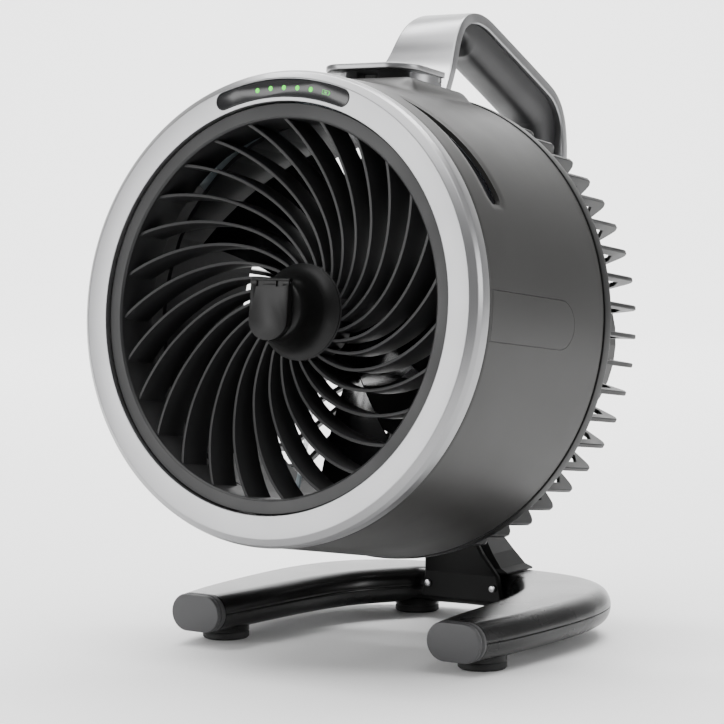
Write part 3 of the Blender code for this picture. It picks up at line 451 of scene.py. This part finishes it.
CELL_BLUE = finish("cell_wrap_blue", (0.03, 0.08, 0.30), 0.32, 0.0, 800.0, 0.00002, 0.12, 60.0)
BOARD = finish("board_green", (0.012, 0.13, 0.05), 0.38, 0.0, 420.0, 0.00006, 0.30, 160.0)
STEEL = brushed("brushed_steel", (0.60, 0.60, 0.61), 0.30, (1.0, 12.0, 12.0))
COPPER = windings("copper_windings")
LED = lamp("led_green", (0.04, 0.70, 0.03), 1.3)
ICON = lamp("icon_green", (0.03, 0.50, 0.03), 0.6)


def dress_cad_nodes():
    """Every carried-over CAD node gets the procedural finish of what it is."""
    groups = (
        (STEEL, "motor_shaft motor_housing bearing_front bearing_rear"),
        (STEEL, "tilt_pin nozzle_hinge_pin lid_hinge_pin"),
        (STEEL, "neck_screw_l neck_screw_r handle_screw_l handle_screw_r mist_nozzle"),
        (BLACK, "hub_housing nozzle_cover neck_post neck_cover motor_mount"),
        (BLACK, "charge_inlet spinner_nut rear_grille"),
        (BASE_BLACK, "base_top_shell base_bottom_shell"),
        (DARK_GREY, "duct_shroud head_bracket water_pump mist_button power_button speed_button"),
        (GRILLE_GREY, "front_grille"),
        (CAP_GREY, "end_cap_l end_cap_r"),
        (CHARCOAL, "drum_shell side_panel_l side_panel_r rear_pod pod_cover"),
        (SILVER, "bezel_ring fill_lid handle_strap"),
        (GLOSS, "impeller slot_insert_l slot_insert_r"),
        (GLOSS_FLAT, "display_window"),
        (SOFT, "handle_grip"),
        (RUBBER, "foot_pad_fl foot_pad_fr foot_pad_rl foot_pad_rr tilt_washer_l tilt_washer_r lid_gasket"),
        (COPPER, "motor_stator"),
        (LED, "light_guide"),
        (CLEAR, "mist_feed_line water_tank supply_hose"),
        (CELL_BLUE, "battery_pack"),
        (BOARD, "control_board"),
    )
    for mat, names in groups:
        for name in names.split():
            for slot in frame["nodes"][name].material_slots:
                slot.material = mat


# Head shell ------------------------------------------------------------------------------------------


def fillet(corner_a, corner, corner_b, radius, steps=5):
    """Points that round one corner of a profile."""
    a, c, b = Vector(corner_a), Vector(corner), Vector(corner_b)
    start = c + (a - c).normalized() * radius
    end = c + (b - c).normalized() * radius
    made = []
    for k in range(steps + 1):
        t = k / steps
        made.append(tuple(start * (1 - t) ** 2 + c * 2 * t * (1 - t) + end * t * t))
    return made


def softened(profile, radii, ring=True):
    """Profile with each corner rounded by its own radius."""
    made = []
    count = len(profile)
    for i, (point, radius) in enumerate(zip(profile, radii)):
        if radius <= 0 or (not ring and i in (0, count - 1)):
            made.append(point)
        else:
            made += fillet(profile[i - 1], point, profile[(i + 1) % count], radius)
    return made


def arc_bar(half_h, half_angle, front, rear, work=None, steps=48, ends=16):
    """Stadium bar bent along the display's arc."""
    outline = []
    for sign, start, end in ((1, -half_angle, half_angle), (-1, half_angle, -half_angle)):
        for k in range(steps + 1):
            a = math.radians(90 + start + (end - start) * k / steps)
            r = DISPLAY_R + sign * half_h
            outline.append((r * math.cos(a), r * math.sin(a)))
        centre = math.radians(90 + end)
        cx, cz = DISPLAY_R * math.cos(centre), DISPLAY_R * math.sin(centre)
        for k in range(1, ends):
            a = centre + (0 if sign > 0 else math.pi) + math.pi * k / ends
            outline.append((cx + half_h * math.cos(a), cz + half_h * math.sin(a)))
    return slab(outline, front, rear, "y", work)


def bezel():
    """Flat ring with a bright outer chamfer and a pocket for the display."""
    profile = [(BEZEL_IN, 0.0), (BEZEL_FLAT, 0.0), (0.1188, 0.0026), (BEZEL_OUT, 0.0055)]
    profile += [(BEZEL_OUT, BEZEL_REAR), (0.1170, BEZEL_REAR), (0.1170, 0.0070), (BEZEL_IN, 0.0070)]
    radii = (0.0005, 0.0004, 0.0005, 0.0006, 0.0005, 0.0, 0.0, 0.0004)
    work = lathe(softened(profile, radii), ROUND * 2, True)
    ring = piece("bezel_ring_fine", work, HEAD, "head", SILVER)
    cut(ring, arc_bar(DISPLAY_HALF_H + GAP, DISPLAY_HALF_ANGLE, -0.001, 0.0075))
    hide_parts("bezel_ring")


def display():
    """Dark window with five lit dots and a small battery outline."""
    window = piece(
        "display_window_fine", arc_bar(DISPLAY_HALF_H, DISPLAY_HALF_ANGLE, 0.0001, 0.0022), HEAD, "head",
        GLOSS_FLAT,
    )
    rounded(window, 0.0004, 3)
    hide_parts("display_window")
    dots = bmesh.new()
    for offset in LED_ANGLES:
        spot = polar(DISPLAY_R, 90 + offset, 0)
        matrix = Matrix.Translation((spot.x, 0.0002, spot.z)) @ Matrix.Diagonal((1.0, 0.30, 1.0, 1.0))
        bmesh.ops.create_uvsphere(dots, u_segments=32, v_segments=16, radius=LED_R, matrix=matrix)
    lights = piece("charge_lights", dots, HEAD, "head", LED)
    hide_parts("light_guide")
    spot = polar(DISPLAY_R, 90 + ICON_ANGLE, 0)
    turn = Matrix.Rotation(-math.radians(ICON_ANGLE), 4, "Y")
    place = HEAD @ Matrix.Translation((spot.x, -0.0001, spot.z)) @ turn
    icon = bmesh.new()
    half_w, half_h, line = 0.0021, 0.0011, 0.00022
    for x0, x1, z0, z1 in (
        (-half_w, half_w, half_h - line, half_h),
        (-half_w, half_w, -half_h, line - half_h),
        (-half_w, line - half_w, line - half_h, half_h - line),
        (half_w - line, half_w, line - half_h, half_h - line),
        (half_w, half_w + 0.0005, -0.0005, 0.0005),
        (-0.0009, 0.0006, -0.00045, 0.00045),
    ):
        block(x0, x1, 0.0, 0.0004, z0, z1, icon)
    piece("charge_icon", icon, place, "head", ICON)


def shell_radius(depth):
    share = (depth - SHELL_FRONT) / (SHELL_REAR - SHELL_FRONT)
    return SHELL_R0 + (SHELL_R1 - SHELL_R0) * share


def soft_max(a, b, width):
    """The larger of two numbers, with a rounded change from one to the other."""
    gap = max(width - abs(a - b), 0.0)
    return max(a, b) + gap * gap / (4 * width)


def smooth_step(value, low, high):
    t = min(max((value - low) / (high - low), 0.0), 1.0)
    return t * t * (3 - 2 * t)


PAD_REACH = 30.0
SLOT_ROWS = (
    # angle from the top, depth of the centre line, half-width
    (26.0, 0.0299, 0.0003),
    (28.0, 0.0302, 0.0011),
    (34.0, 0.0312, 0.0026),
    (42.0, 0.0326, 0.0042),
    (50.0, 0.0338, 0.0052),
    (57.0, 0.0345, 0.0055),
    (61.0, 0.0348, 0.0051),
    (62.6, 0.0348, 0.0032),
)
SLOT_HALO = 0.0030
SLOT_HALO_DEPTH = 0.0007


def slot_reach(angle, depth):
    """How far outside the crescent slot a point of the drum lies, in metres along the depth."""
    angle = abs(angle)
    first, last = SLOT_ROWS[0], SLOT_ROWS[-1]
    held = min(max(angle, first[0]), last[0])
    for low, high in zip(SLOT_ROWS, SLOT_ROWS[1:]):
        if held <= high[0]:
            t = (held - low[0]) / (high[0] - low[0])
            centre = low[1] + (high[1] - low[1]) * t
            half = low[2] + (high[2] - low[2]) * t
            break
    past = math.radians(abs(angle - held)) * SHELL_R0
    return math.hypot(max(abs(depth - centre) - half, 0.0), past)


def drum_outer(angle, depth):
    """Radius of the drum's skin at an angle from the top: cone, lid pad and the slots' lips."""
    base = shell_radius(depth)
    radius = base
    if abs(angle) < PAD_REACH:
        across = base * math.sin(math.radians(angle))
        rise = smooth_step(depth, 0.0560, 0.0690)
        level = PAD_TOP / math.cos(math.radians(angle))
        fade = smooth_step(abs(across), 0.0290, 0.0400)
        pad = base + (level - base) * rise * (1 - fade)
        if pad > base:
            radius = soft_max(base, pad, 0.0008)
    reach = slot_reach(angle, depth)
    return radius - SLOT_HALO_DEPTH * (1 - smooth_step(reach, 0.0, SLOT_HALO))


def drum_skin():
    depths = [SHELL_FRONT, SHELL_FRONT + 0.0003, SHELL_FRONT + 0.0010]
    depths += [SHELL_FRONT + 0.0010 + 0.0014 * k for k in range(1, 40)]
    depths += [0.0695 + 0.0031 * k for k in range(17)]
    depths = [d for d in depths if d < SHELL_REAR - 0.0012]
    depths += [SHELL_REAR - 0.0010, SHELL_REAR - 0.0003, SHELL_REAR]
    inset = {SHELL_FRONT: 0.0006, SHELL_FRONT + 0.0003: 0.0002}
    inset |= {SHELL_REAR - 0.0003: 0.0001, SHELL_REAR: 0.0004}
    angles = [-180 + 360.0 * k / 480 for k in range(480)]
    work = bmesh.new()
    rows = []
    for depth in depths:
        ring = []
        for angle in angles:
            radius = drum_outer(angle, depth) - inset.get(depth, 0.0)
            ring.append(work.verts.new(polar(radius, 90 - angle, depth)))
        rows.append(ring)
    for depth in (SHELL_REAR, SHELL_FRONT):
        inner = shell_radius(depth) - SHELL_WALL
        rows.append([work.verts.new(polar(inner, 90 - angle, depth)) for angle in angles])
    for low, high in zip(rows, rows[1:] + rows[:1]):
        for k in range(len(angles)):
            n = (k + 1) % len(angles)
            work.faces.new((low[k], low[n], high[n], high[k]))
    return work


def crescent(side, shrink, low, high, work=None):
    rows = curve_through([Vector(row) for row in SLOT_ROWS], 6)
    sections = []
    for angle, depth, half in rows:
        t = math.radians(angle)
        half = max(half - shrink, 0.00004)
        corners = ((low, -half), (low, half), (high, half), (high, -half))
        sections.append([(side * r * math.sin(t), depth + h, r * math.cos(t)) for r, h in corners])
    return loft(sections, work)


def panel_shape(side, grow, sink, lift, work=None):
    """Panel with a round rear end, bent to the drum at the side."""
    half, front, centre = 0.0123 + grow, 0.0150 - grow, 0.0785
    sections = []
    for k in range(25):
        a = -math.pi / 2 + math.pi * k / 24
        z, rear = half * math.sin(a), centre + half * math.cos(a) + 0.0001
        section = []
        for share in range(9):
            depth = front + (rear - front) * share / 8
            section.append((depth, -sink))
        for share in range(8, -1, -1):
            depth = front + (rear - front) * share / 8
            section.append((depth, lift))
        points = []
        for depth, up in section:
            radius = shell_radius(depth) + up
            points.append((side * math.sqrt(radius * radius - z * z), depth, z))
        sections.append(points)
    return loft(sections, work)


def drum():
    """Drum skin with its pad, slots and panel seams, and the pieces set in it."""
    shell = piece("drum_shell_fine", drum_skin(), HEAD, "head", CHARCOAL)
    for side in (-1, 1):
        cut(shell, crescent(side, 0.0, 0.1150, 0.1300))
        cut(shell, panel_shape(side, 0.00022, 0.0016, 0.0010))
    cut(shell, slab(circle(0, FILL_D, FILL_HOLE_R), 0.10, 0.14, "z"))
    plan = [(-LUG_HALF_W, LUG_FRONT), (LUG_HALF_W, LUG_FRONT)]
    plan += [(LUG_HALF_W, LUG_REAR), (-LUG_HALF_W, LUG_REAR)]
    lug = slab(softened(plan, (LUG_CORNER,) * 4), LUG_ROOT, LUG_TOP, "z")
    cut(shell, lug, "UNION")
    cut(shell, slab(circle(*LID_AXIS, LID_PIN_HOLE_R), -0.03, 0.03, "x"))
    shell.data.set_sharp_from_angle(angle=math.radians(32))
    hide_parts("drum_shell")
    for hand, side in (("l", -1), ("r", 1)):
        work = panel_shape(side, 0.0, PANEL_DEEP, 0.0)
        panel = piece(f"side_panel_{hand}_fine", work, HEAD, "head", CHARCOAL)
        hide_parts(f"side_panel_{hand}")
        work = crescent(side, GAP, INSERT_LOW, INSERT_HIGH)
        insert = piece(f"slot_insert_{hand}_fine", work, HEAD, "head", GLOSS)
        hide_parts(f"slot_insert_{hand}")


# Front grille and mist head --------------------------------------------------------------------------


def vane(work):
    """Curved vane that sweeps out from the hub disc to the rim."""
    rows = curve_through([Vector((r, a, f)) for r, a, f, _ in VANE_STATIONS], 7)
    rears = curve_through([Vector((r, a, b)) for r, a, _, b in VANE_STATIONS], 7)
    spots = [polar(r, a, 0) for r, a, _ in rows]
    sections = []
    for i, (spot, row, rear) in enumerate(zip(spots, rows, rears)):
        ahead = spots[min(i + 1, len(spots) - 1)] - spots[max(i - 1, 0)]
        across = Vector((-ahead.z, 0, ahead.x)).normalized()
        half, nose = VANE_T / 2, 0.0003
        section = []
        for sign, depth in ((1, rear.z), (1, row.z + nose), (0.85, row.z + 0.0001), (0.0, row.z)):
            section.append((sign * half, depth))
        section += [(-a, depth) for a, depth in reversed(section[:-1])]
        points = []
        for a, depth in section:
            p = spot + across * a
            points.append((p.x, depth, p.z))
        sections.append(points)
    loft(sections, work)


def grille():
    """Rim, swirl of vanes and hub disc. The vanes' ends sink into the rim and the disc."""
    profile = [(RIM_IN, 0.0036), (0.0965, RIM_FRONT), (RIM_OUT, RIM_FRONT)]
    profile += [(RIM_OUT, RIM_REAR), (RIM_IN, RIM_REAR)]
    work = lathe(softened(profile, (0.0003, 0.0004, 0.0006, 0.0004, 0.0004)), ROUND * 2, True)
    around(vane, VANES, VANE_PHASE, work)
    disc = [(0.0060, 0.0280), (0.0250, 0.0280), (0.0250, 0.0410), (0.0060, 0.0410)]
    lathe(softened(disc, (0.0, 0.0008, 0.0008, 0.0)), ROUND, True, work)
    made = piece("front_grille_fine", work, HEAD, "head", GRILLE_GREY, 40.0)
    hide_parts("front_grille")


def hub():
    """Stepped hub that flares into its disc, with a recess for the nozzle."""
    profile = [(0.0, 0.0090), (0.0045, 0.0090), (0.0045, 0.0042), (0.0125, 0.0042)]
    profile += [(0.0150, 0.0052), (0.0162, 0.0078)]
    profile += [(0.0168, 0.0180), (0.0200, 0.0250), (0.0246, 0.0272), (0.0246, 0.0277), (0.0, 0.0277)]
    radii = (0.0, 0.0, 0.0004, 0.0012, 0.0012, 0.0020, 0.0050, 0.0040, 0.0002, 0.0, 0.0)
    work = lathe(softened(profile, radii, False), 128)
    made = piece("hub_housing_fine", work, HEAD, "head", BLACK, 45.0)
    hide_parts("hub_housing")


def nozzle_flap():
    """U-shaped flap with a hinge barrel along its top edge and two small windows in the barrel."""
    half, top, bend, drop = 0.0116, 0.0118, -0.0060, 0.0105
    plan = [(half, top), (half, bend)]
    turns = [math.pi * k / 28 for k in range(1, 28)]
    plan += [(half * math.cos(a), bend - drop * math.sin(a)) for a in turns]
    plan += [(-half, bend), (-half, top)]
    work = slab(plan, -0.0008, 0.0035, "y")
    flap = piece("nozzle_cover_fine", work, HEAD, "nozzle_flap", BLACK)
    rounded(flap, 0.0005, 3)
    cut(flap, slab(circle(0.0014, 0.0128, 0.0022, 32), -half, half, "x"), "UNION")
    for x in (-0.0080, 0.0040):
        cut(flap, block(x, x + 0.0040, -0.0040, 0.0002, 0.0105, 0.0135))
    cut(flap, slab(circle(0.0014, 0.0128, 0.0011, 24), -0.02, 0.02, "x"))
    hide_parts("nozzle_cover")


# Air mover ---------------------------------------------------------------------------------------------


def blade(work):
    """Broad pitched blade with a rounded rim."""
    rows = curve_through([Vector((r, a)) for r, a in zip(BLADE_RADII, BLADE_LEAN)], 4)
    spans = 20
    low, high = [], []
    for r, lean in rows:
        for k in range(spans + 1):
            s = k / spans
            depth = BLADE_FRONT + BLADE_PITCH * (1 - s) + BLADE_CAMBER * math.sin(math.pi * s)
            thick = BLADE_T * (0.35 + 0.65 * math.sin(math.pi * min(max(s, 0.06), 0.94)) ** 0.5) / 2
            low.append(work.verts.new(polar(r, lean + BLADE_SPAN * s, depth - thick)))
            high.append(work.verts.new(polar(r, lean + BLADE_SPAN * s, depth + thick)))
    wide = spans + 1
    for i in range(len(rows) - 1):
        for k in range(spans):
            a, b = i * wide + k, i * wide + k + 1
            work.faces.new((low[a], low[b], low[b + wide], low[a + wide]))
            work.faces.new((high[a], high[a + wide], high[b + wide], high[b]))
    last = (len(rows) - 1) * wide
    border = list(range(wide)) + [i * wide + spans for i in range(1, len(rows))]
    border += [last + k for k in range(spans - 1, -1, -1)] + [i * wide for i in range(len(rows) - 2, 0, -1)]
    for a, b in zip(border, border[1:] + border[:1]):
        work.faces.new((low[a], low[b], high[b], high[a]))


def impeller():
    profile = [(0.0033, 0.0560), (0.0100, 0.0560), (0.0240, 0.0575), (0.0310, 0.0610), (0.0340, 0.0670)]
    profile += [(0.0340, 0.1000), (0.0312, 0.1000), (0.0312, 0.0690), (0.0080, 0.0640)]
    profile += [(0.0080, 0.0800), (0.0033, 0.0800)]
    radii = (0.0, 0.001, 0.003, 0.003, 0.003, 0.0004, 0.0004, 0.001, 0.0, 0.0, 0.0)
    work = lathe(softened(profile, radii), 96, True)
    around(blade, BLADES, BLADE_PHASE, work)
    made = piece("impeller_fine", work, HEAD, "impeller", GLOSS, 40.0)
    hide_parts("impeller")


def cage():
    """Fifty ribs that run back from a band, turn a round corner and run in to a disc."""
    profile = [(0.1150, 0.1203), (0.1262, 0.1203), (0.1262, 0.1275), (0.1150, 0.1275)]
    work = lathe(softened(profile, (0.0, 0.0005, 0.0010, 0.0)), ROUND * 2, True)
    outer = [(CAGE_R, 0.1240), (CAGE_R, 0.1560)]
    outer += fillet((CAGE_R, 0.1560), (CAGE_R, CAGE_REAR), (CAGE_R - 0.0120, CAGE_REAR), 0.0070, 8)[1:]
    outer += [(0.0610, CAGE_REAR)]
    inner = [(0.0610, 0.1625), (0.1110, 0.1625), (0.1168, 0.1560), (0.1168, 0.1240)]

    def rib(bm):
        outline = outer + inner
        half, edge = RIB_T / 2, 0.0004
        sections = []
        for x, shrink in ((-half, edge), (edge - half, 0.0), (half - edge, 0.0), (half, edge)):
            ring = []
            for i, (r, d) in enumerate(outline):
                pull = shrink if i < len(outer) else -shrink
                ring.append((r - (pull if d < CAGE_REAR - 0.001 else 0.0), d - (pull if d > 0.158 else 0.0)))
            sections.append([(r, d, x) for r, d in ring])
        loft(sections, bm)

    around(rib, RIBS, 0.0, work)
    disc = [(0.0120, 0.1600), (0.0640, 0.1600), (0.0640, 0.1686), (0.0120, 0.1686)]
    lathe(softened(disc, (0.0, 0.0006, 0.0006, 0.0)), 128, True, work)
    made = piece("rear_grille_fine", work, HEAD, "head", BLACK, 30.0)
    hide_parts("rear_grille")


# Fill lid and handle -------------------------------------------------------------------------------------


def lid_plan(half, front, rear, corner, steps=14):
    right = [(half, rear)]
    for k in range(steps + 1):
        a = math.pi / 2 * k / steps
        right.append((half - corner + corner * math.cos(a), front + corner - corner * math.sin(a)))
    return right + [(-x, d) for x, d in reversed(right)]


def lid():
    """Plate over a smaller round-cornered body with a dark finger notch."""
    work = slab(lid_plan(LID_HALF_W, LID_FRONT, LID_REAR, 0.0150), LID_STEP, LID_TOP, "z")
    top = piece("fill_lid_fine", work, HEAD, "lid", SILVER)
    rounded(top, 0.0007, 4)
    cut(top, slab(lid_plan(0.0275, 0.0765, 0.1070, 0.0230), LID_BOTTOM, LID_STEP + 0.0008, "z"), "UNION")
    cut(top, block(-0.0066, 0.0066, 0.0600, 0.0800, 0.1200, 0.1308))
    cut(top, block(-0.0178, 0.0178, 0.0995, 0.1200, 0.1200, 0.1330))
    cut(top, slab(circle(0, FILL_D, 0.0095), 0.1200, 0.1300, "z"))
    cut(top, slab(circle(*LID_AXIS, 0.0017, 32), -0.04, 0.04, "x"))
    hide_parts("fill_lid")


def strap_stations():
    """Outer point, inward normal and half-width along the strap, smooth through its corners."""
    rows = curve_through([Vector(row) for row in STRAP], 7)
    made = []
    for i, row in enumerate(rows):
        ahead = rows[min(i + 1, len(rows) - 1)] - rows[max(i - 1, 0)]
        t = Vector((ahead.x, ahead.y)).normalized()
        made.append((Vector((row.x, row.y)), Vector((t.y, -t.x)), row.z))
    return made


def strap_section(spot, inward, outline):
    points = []
    for x, deep in outline:
        p = spot + inward * deep
        points.append((x, p.x, p.y))
    return points


def handle():
    """Flat silver strap with bright edges and a soft grip under it."""
    edge = 0.0007
    sections = []
    for spot, inward, half in strap_stations():
        side = [(half - edge * 2, 0.0), (half - edge, 0.0001), (half - edge * 0.3, edge * 0.4)]
        side += [(half, edge), (half, STRAP_T - edge), (half - edge, STRAP_T)]
        sections.append(strap_section(spot, inward, side + [(-x, deep) for x, deep in reversed(side)]))
    strap = piece("handle_strap_fine", loft(sections), HEAD, "head", SILVER, 30.0)
    cut(strap, block(-0.05, 0.05, 0.09, 0.14, 0.10, 0.1262))
    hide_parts("handle_strap")
    stations = strap_stations()[6 * 7:]
    sections = []
    for i, (spot, inward, half) in enumerate(stations):
        share = i / (len(stations) - 1)
        deep = 0.0175 * min(0.23 + 0.77 * smooth_step(share, 0.0, 0.26), 1.0)
        deep -= 0.0015 * smooth_step(share, 0.7, 1.0)
        wide = min(half - 0.0022, 0.0132)
        outline = [(wide, 0.0)]
        for k in range(0, 13):
            a = math.pi / 2 * k / 12
            outline.append((wide * math.cos(a) ** 0.62, deep * (0.30 + 0.70 * math.sin(a) ** 0.9)))
        outline = [(x, STRAP_T + GAP + t) for x, t in outline]
        sections.append(strap_section(spot, inward, outline + [(-x, t) for x, t in reversed(outline[:-1])]))
    grip = piece("handle_grip_fine", loft(sections), HEAD, "head", SOFT, 50.0)
    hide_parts("handle_grip")


# Base --------------------------------------------------------------------------------------------------


def base_rails():
    """Outer and inner edge of the U in order from the right leg end to the left one."""
    right = [Vector(row) for row in BASE_PLAN]
    rows = right + [Vector((-ox, oy, -ix, iy)) for ox, oy, ix, iy in reversed(right[:-1])]
    return [(Vector((r[0], r[1])), Vector((r[2], r[3]))) for r in curve_through(rows, 8)]


def base_half(upper):
    """Half of the stadium section along the U, hollow on the parting side."""
    edge = BASE_SPLIT + (GAP if upper else -GAP) / 2
    tall = (BASE_HIGH - edge) if upper else (edge - BASE_LOW)
    sign = 1 if upper else -1
    sections = []
    for outer, inner in base_rails():
        width = (outer - inner).length
        across = (outer - inner) / width
        middle = (outer + inner) / 2
        arch = []
        for k in range(13):
            a = math.pi / 2 * k / 12
            arch.append((width / 2 - tall + tall * math.cos(a) ** 0.92, tall * math.sin(a)))
        arch[0] = (width / 2 - 0.0002, 0.0)
        arch.insert(1, (width / 2, 0.0004))
        outline = arch + [(-a, b) for a, b in reversed(arch)]
        wall = 0.0024
        hollow = [(width / 2 - wall, 0.0), (width / 2 - wall - tall * 0.25, tall - wall)]
        outline += [(-a, b) for a, b in hollow] + list(reversed(hollow))
        points = []
        for a, b in outline:
            spot = middle + across * a
            points.append((spot.x, LEG_Y + spot.y, edge + sign * b))
        sections.append(points)
    return loft(sections)


def base():
    for name, upper in (("base_top_shell", True), ("base_bottom_shell", False)):
        work = base_half(upper)
        if not upper:
            for x, y, _ in PADS:
                for side in (-1, 1):
                    rows = ((PAD_H + GAP, PAD_R), (0.0065, PAD_R), (BASE_LOW + 0.0016, PAD_R + 0.0012))
                    sections = [[(a, b, z) for a, b in circle(side * x, LEG_Y + y, r)] for z, r in rows]
                    loft(sections, work)
        made = piece(name + "_fine", work, WORLD, "base", BASE_BLACK, 40.0)
        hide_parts(name)


def stadium(half, tall, y, side, sides=64):
    straight = half - tall
    ring = []
    for k in range(sides):
        a = 2 * math.pi * (k + 0.5) / sides
        x = tall * math.cos(a) + math.copysign(straight, math.cos(a))
        ring.append((side * LEG_X + x, LEG_Y + y, CAP_Z + tall * math.sin(a)))
    return ring


def caps_and_pads():
    for hand, side in (("l", -1), ("r", 1)):
        steps = ((0.0, 0.0148, 0.0093), (0.0001, 0.0152, 0.0097), (0.0006, 0.0156, 0.0100))
        steps += ((0.0013, 0.0160, 0.0101), (0.0024, 0.0158, 0.0100), (0.0030, 0.0153, 0.0095))
        steps += ((0.0036, 0.0153, 0.0095), (0.0042, 0.0162, 0.0101))
        steps += ((0.0059, 0.0163, 0.0101),)
        work = loft([stadium(h, t, y, side) for y, h, t in steps])
        cap = piece(f"end_cap_{hand}_fine", work, WORLD, "base", CAP_GREY, 30.0)
        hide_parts(f"end_cap_{hand}")
        for x, y, row in PADS:
            rows = ((0.0, PAD_R - 0.0014), (0.0002, PAD_R - 0.0008), (0.0010, PAD_R))
            rows += ((0.0032, PAD_R), (PAD_H, PAD_R - 0.0006))
            sections = [[(a, b, z) for a, b in circle(side * x, LEG_Y + y, r, 64)] for z, r in rows]
            pad = piece(f"foot_pad_{row}{hand}_fine", loft(sections), WORLD, "base", RUBBER, 40.0)
            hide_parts(f"foot_pad_{row}{hand}")


# Setting ----------------------------------------------------------------------------------------------


LIGHTS = (
    # name, place, target, width, watts, height
    ("overhead", (0.0, -0.20, 1.90), (0.0, 0.0, 0.0), 2.2, 62.0, 2.2),
    ("left_box", (-1.35, -0.75, 0.45), (0.0, 0.0, 0.15), 0.6, 12.0, 0.9),
    ("right_box", (1.45, -0.50, 0.55), (0.1, 0.0, 0.20), 0.6, 7.0, 0.5),
    ("backdrop", (0.0, 1.70, 3.60), (0.0, 4.4, 0.8), 4.5, 560.0, 1.6),
)
WORLD_LIGHT = 0.38

CAMERA_SPOT = (0.6859, -1.1056, 0.2330)
CAMERA_TURN = math.radians(32.97)
CAMERA_DIP = math.radians(3.63)
CAMERA_LENS = 118.6


def area_light(name, spot, target, size, power, size_y=None):
    data = bpy.data.lights.new(name, "AREA")
    data.energy = power
    data.size = size
    if size_y:
        data.shape = "RECTANGLE"
        data.size_y = size_y
    lit = bpy.data.objects.new(name, data)
    bpy.context.scene.collection.objects.link(lit)
    lit.location = spot
    lit.rotation_euler = (Vector(target) - Vector(spot)).to_track_quat("-Z", "Y").to_euler()
    return lit


def studio():
    """Pale floor that sweeps up behind the object, and soft lights round it.
    Here +Y runs away from the camera."""
    turn = Matrix.Rotation(CAMERA_TURN, 4, "Z")
    floor_paint = finish("studio_floor", (0.90, 0.90, 0.90), 0.80, 0.0, 200.0, 0.00001, 0.004, 2.0)
    work = bmesh.new()
    near, far, bend, top, half_w = -7.0, 3.0, 2.0, 8.0, 9.0
    profile = [(near, 0.0), (far, 0.0)]
    turns = [math.pi / 2 * k / 24 for k in range(1, 25)]
    profile += [(far + bend * math.sin(a), bend - bend * math.cos(a)) for a in turns]
    profile += [(far + bend, top)]
    rows = [[work.verts.new((x, y, z)) for x in (-half_w, half_w)] for y, z in profile]
    for low, high in zip(rows, rows[1:]):
        work.faces.new((low[0], low[1], high[1], high[0]))
    mesh = bpy.data.meshes.new("studio_sweep")
    work.to_mesh(mesh)
    work.free()
    mesh.materials.append(floor_paint)
    mesh.shade_smooth()
    sweep = bpy.data.objects.new("studio_sweep", mesh)
    bpy.context.scene.collection.objects.link(sweep)
    sweep.matrix_world = turn
    world = bpy.data.worlds.new("studio")
    world.use_nodes = True
    world.node_tree.nodes["Background"].inputs["Color"].default_value = (1.0, 1.0, 1.0, 1.0)
    world.node_tree.nodes["Background"].inputs["Strength"].default_value = WORLD_LIGHT
    bpy.context.scene.world = world
    for name, spot, target, size, power, size_y in LIGHTS:
        area_light(name, turn @ Vector(spot), turn @ Vector(target), size, power, size_y)


def camera():
    data = bpy.data.cameras.new("photo_view")
    data.lens = CAMERA_LENS
    data.sensor_width = 36.0
    view = bpy.data.objects.new("photo_view", data)
    bpy.context.scene.collection.objects.link(view)
    view.location = CAMERA_SPOT
    view.rotation_euler = (math.pi / 2 - CAMERA_DIP, 0.0, CAMERA_TURN)
    bpy.context.scene.camera = view


camera()
studio()
dress_cad_nodes()
bezel()
display()
drum()
grille()
hub()
nozzle_flap()
impeller()
cage()
lid()
handle()
base()
caps_and_pads()
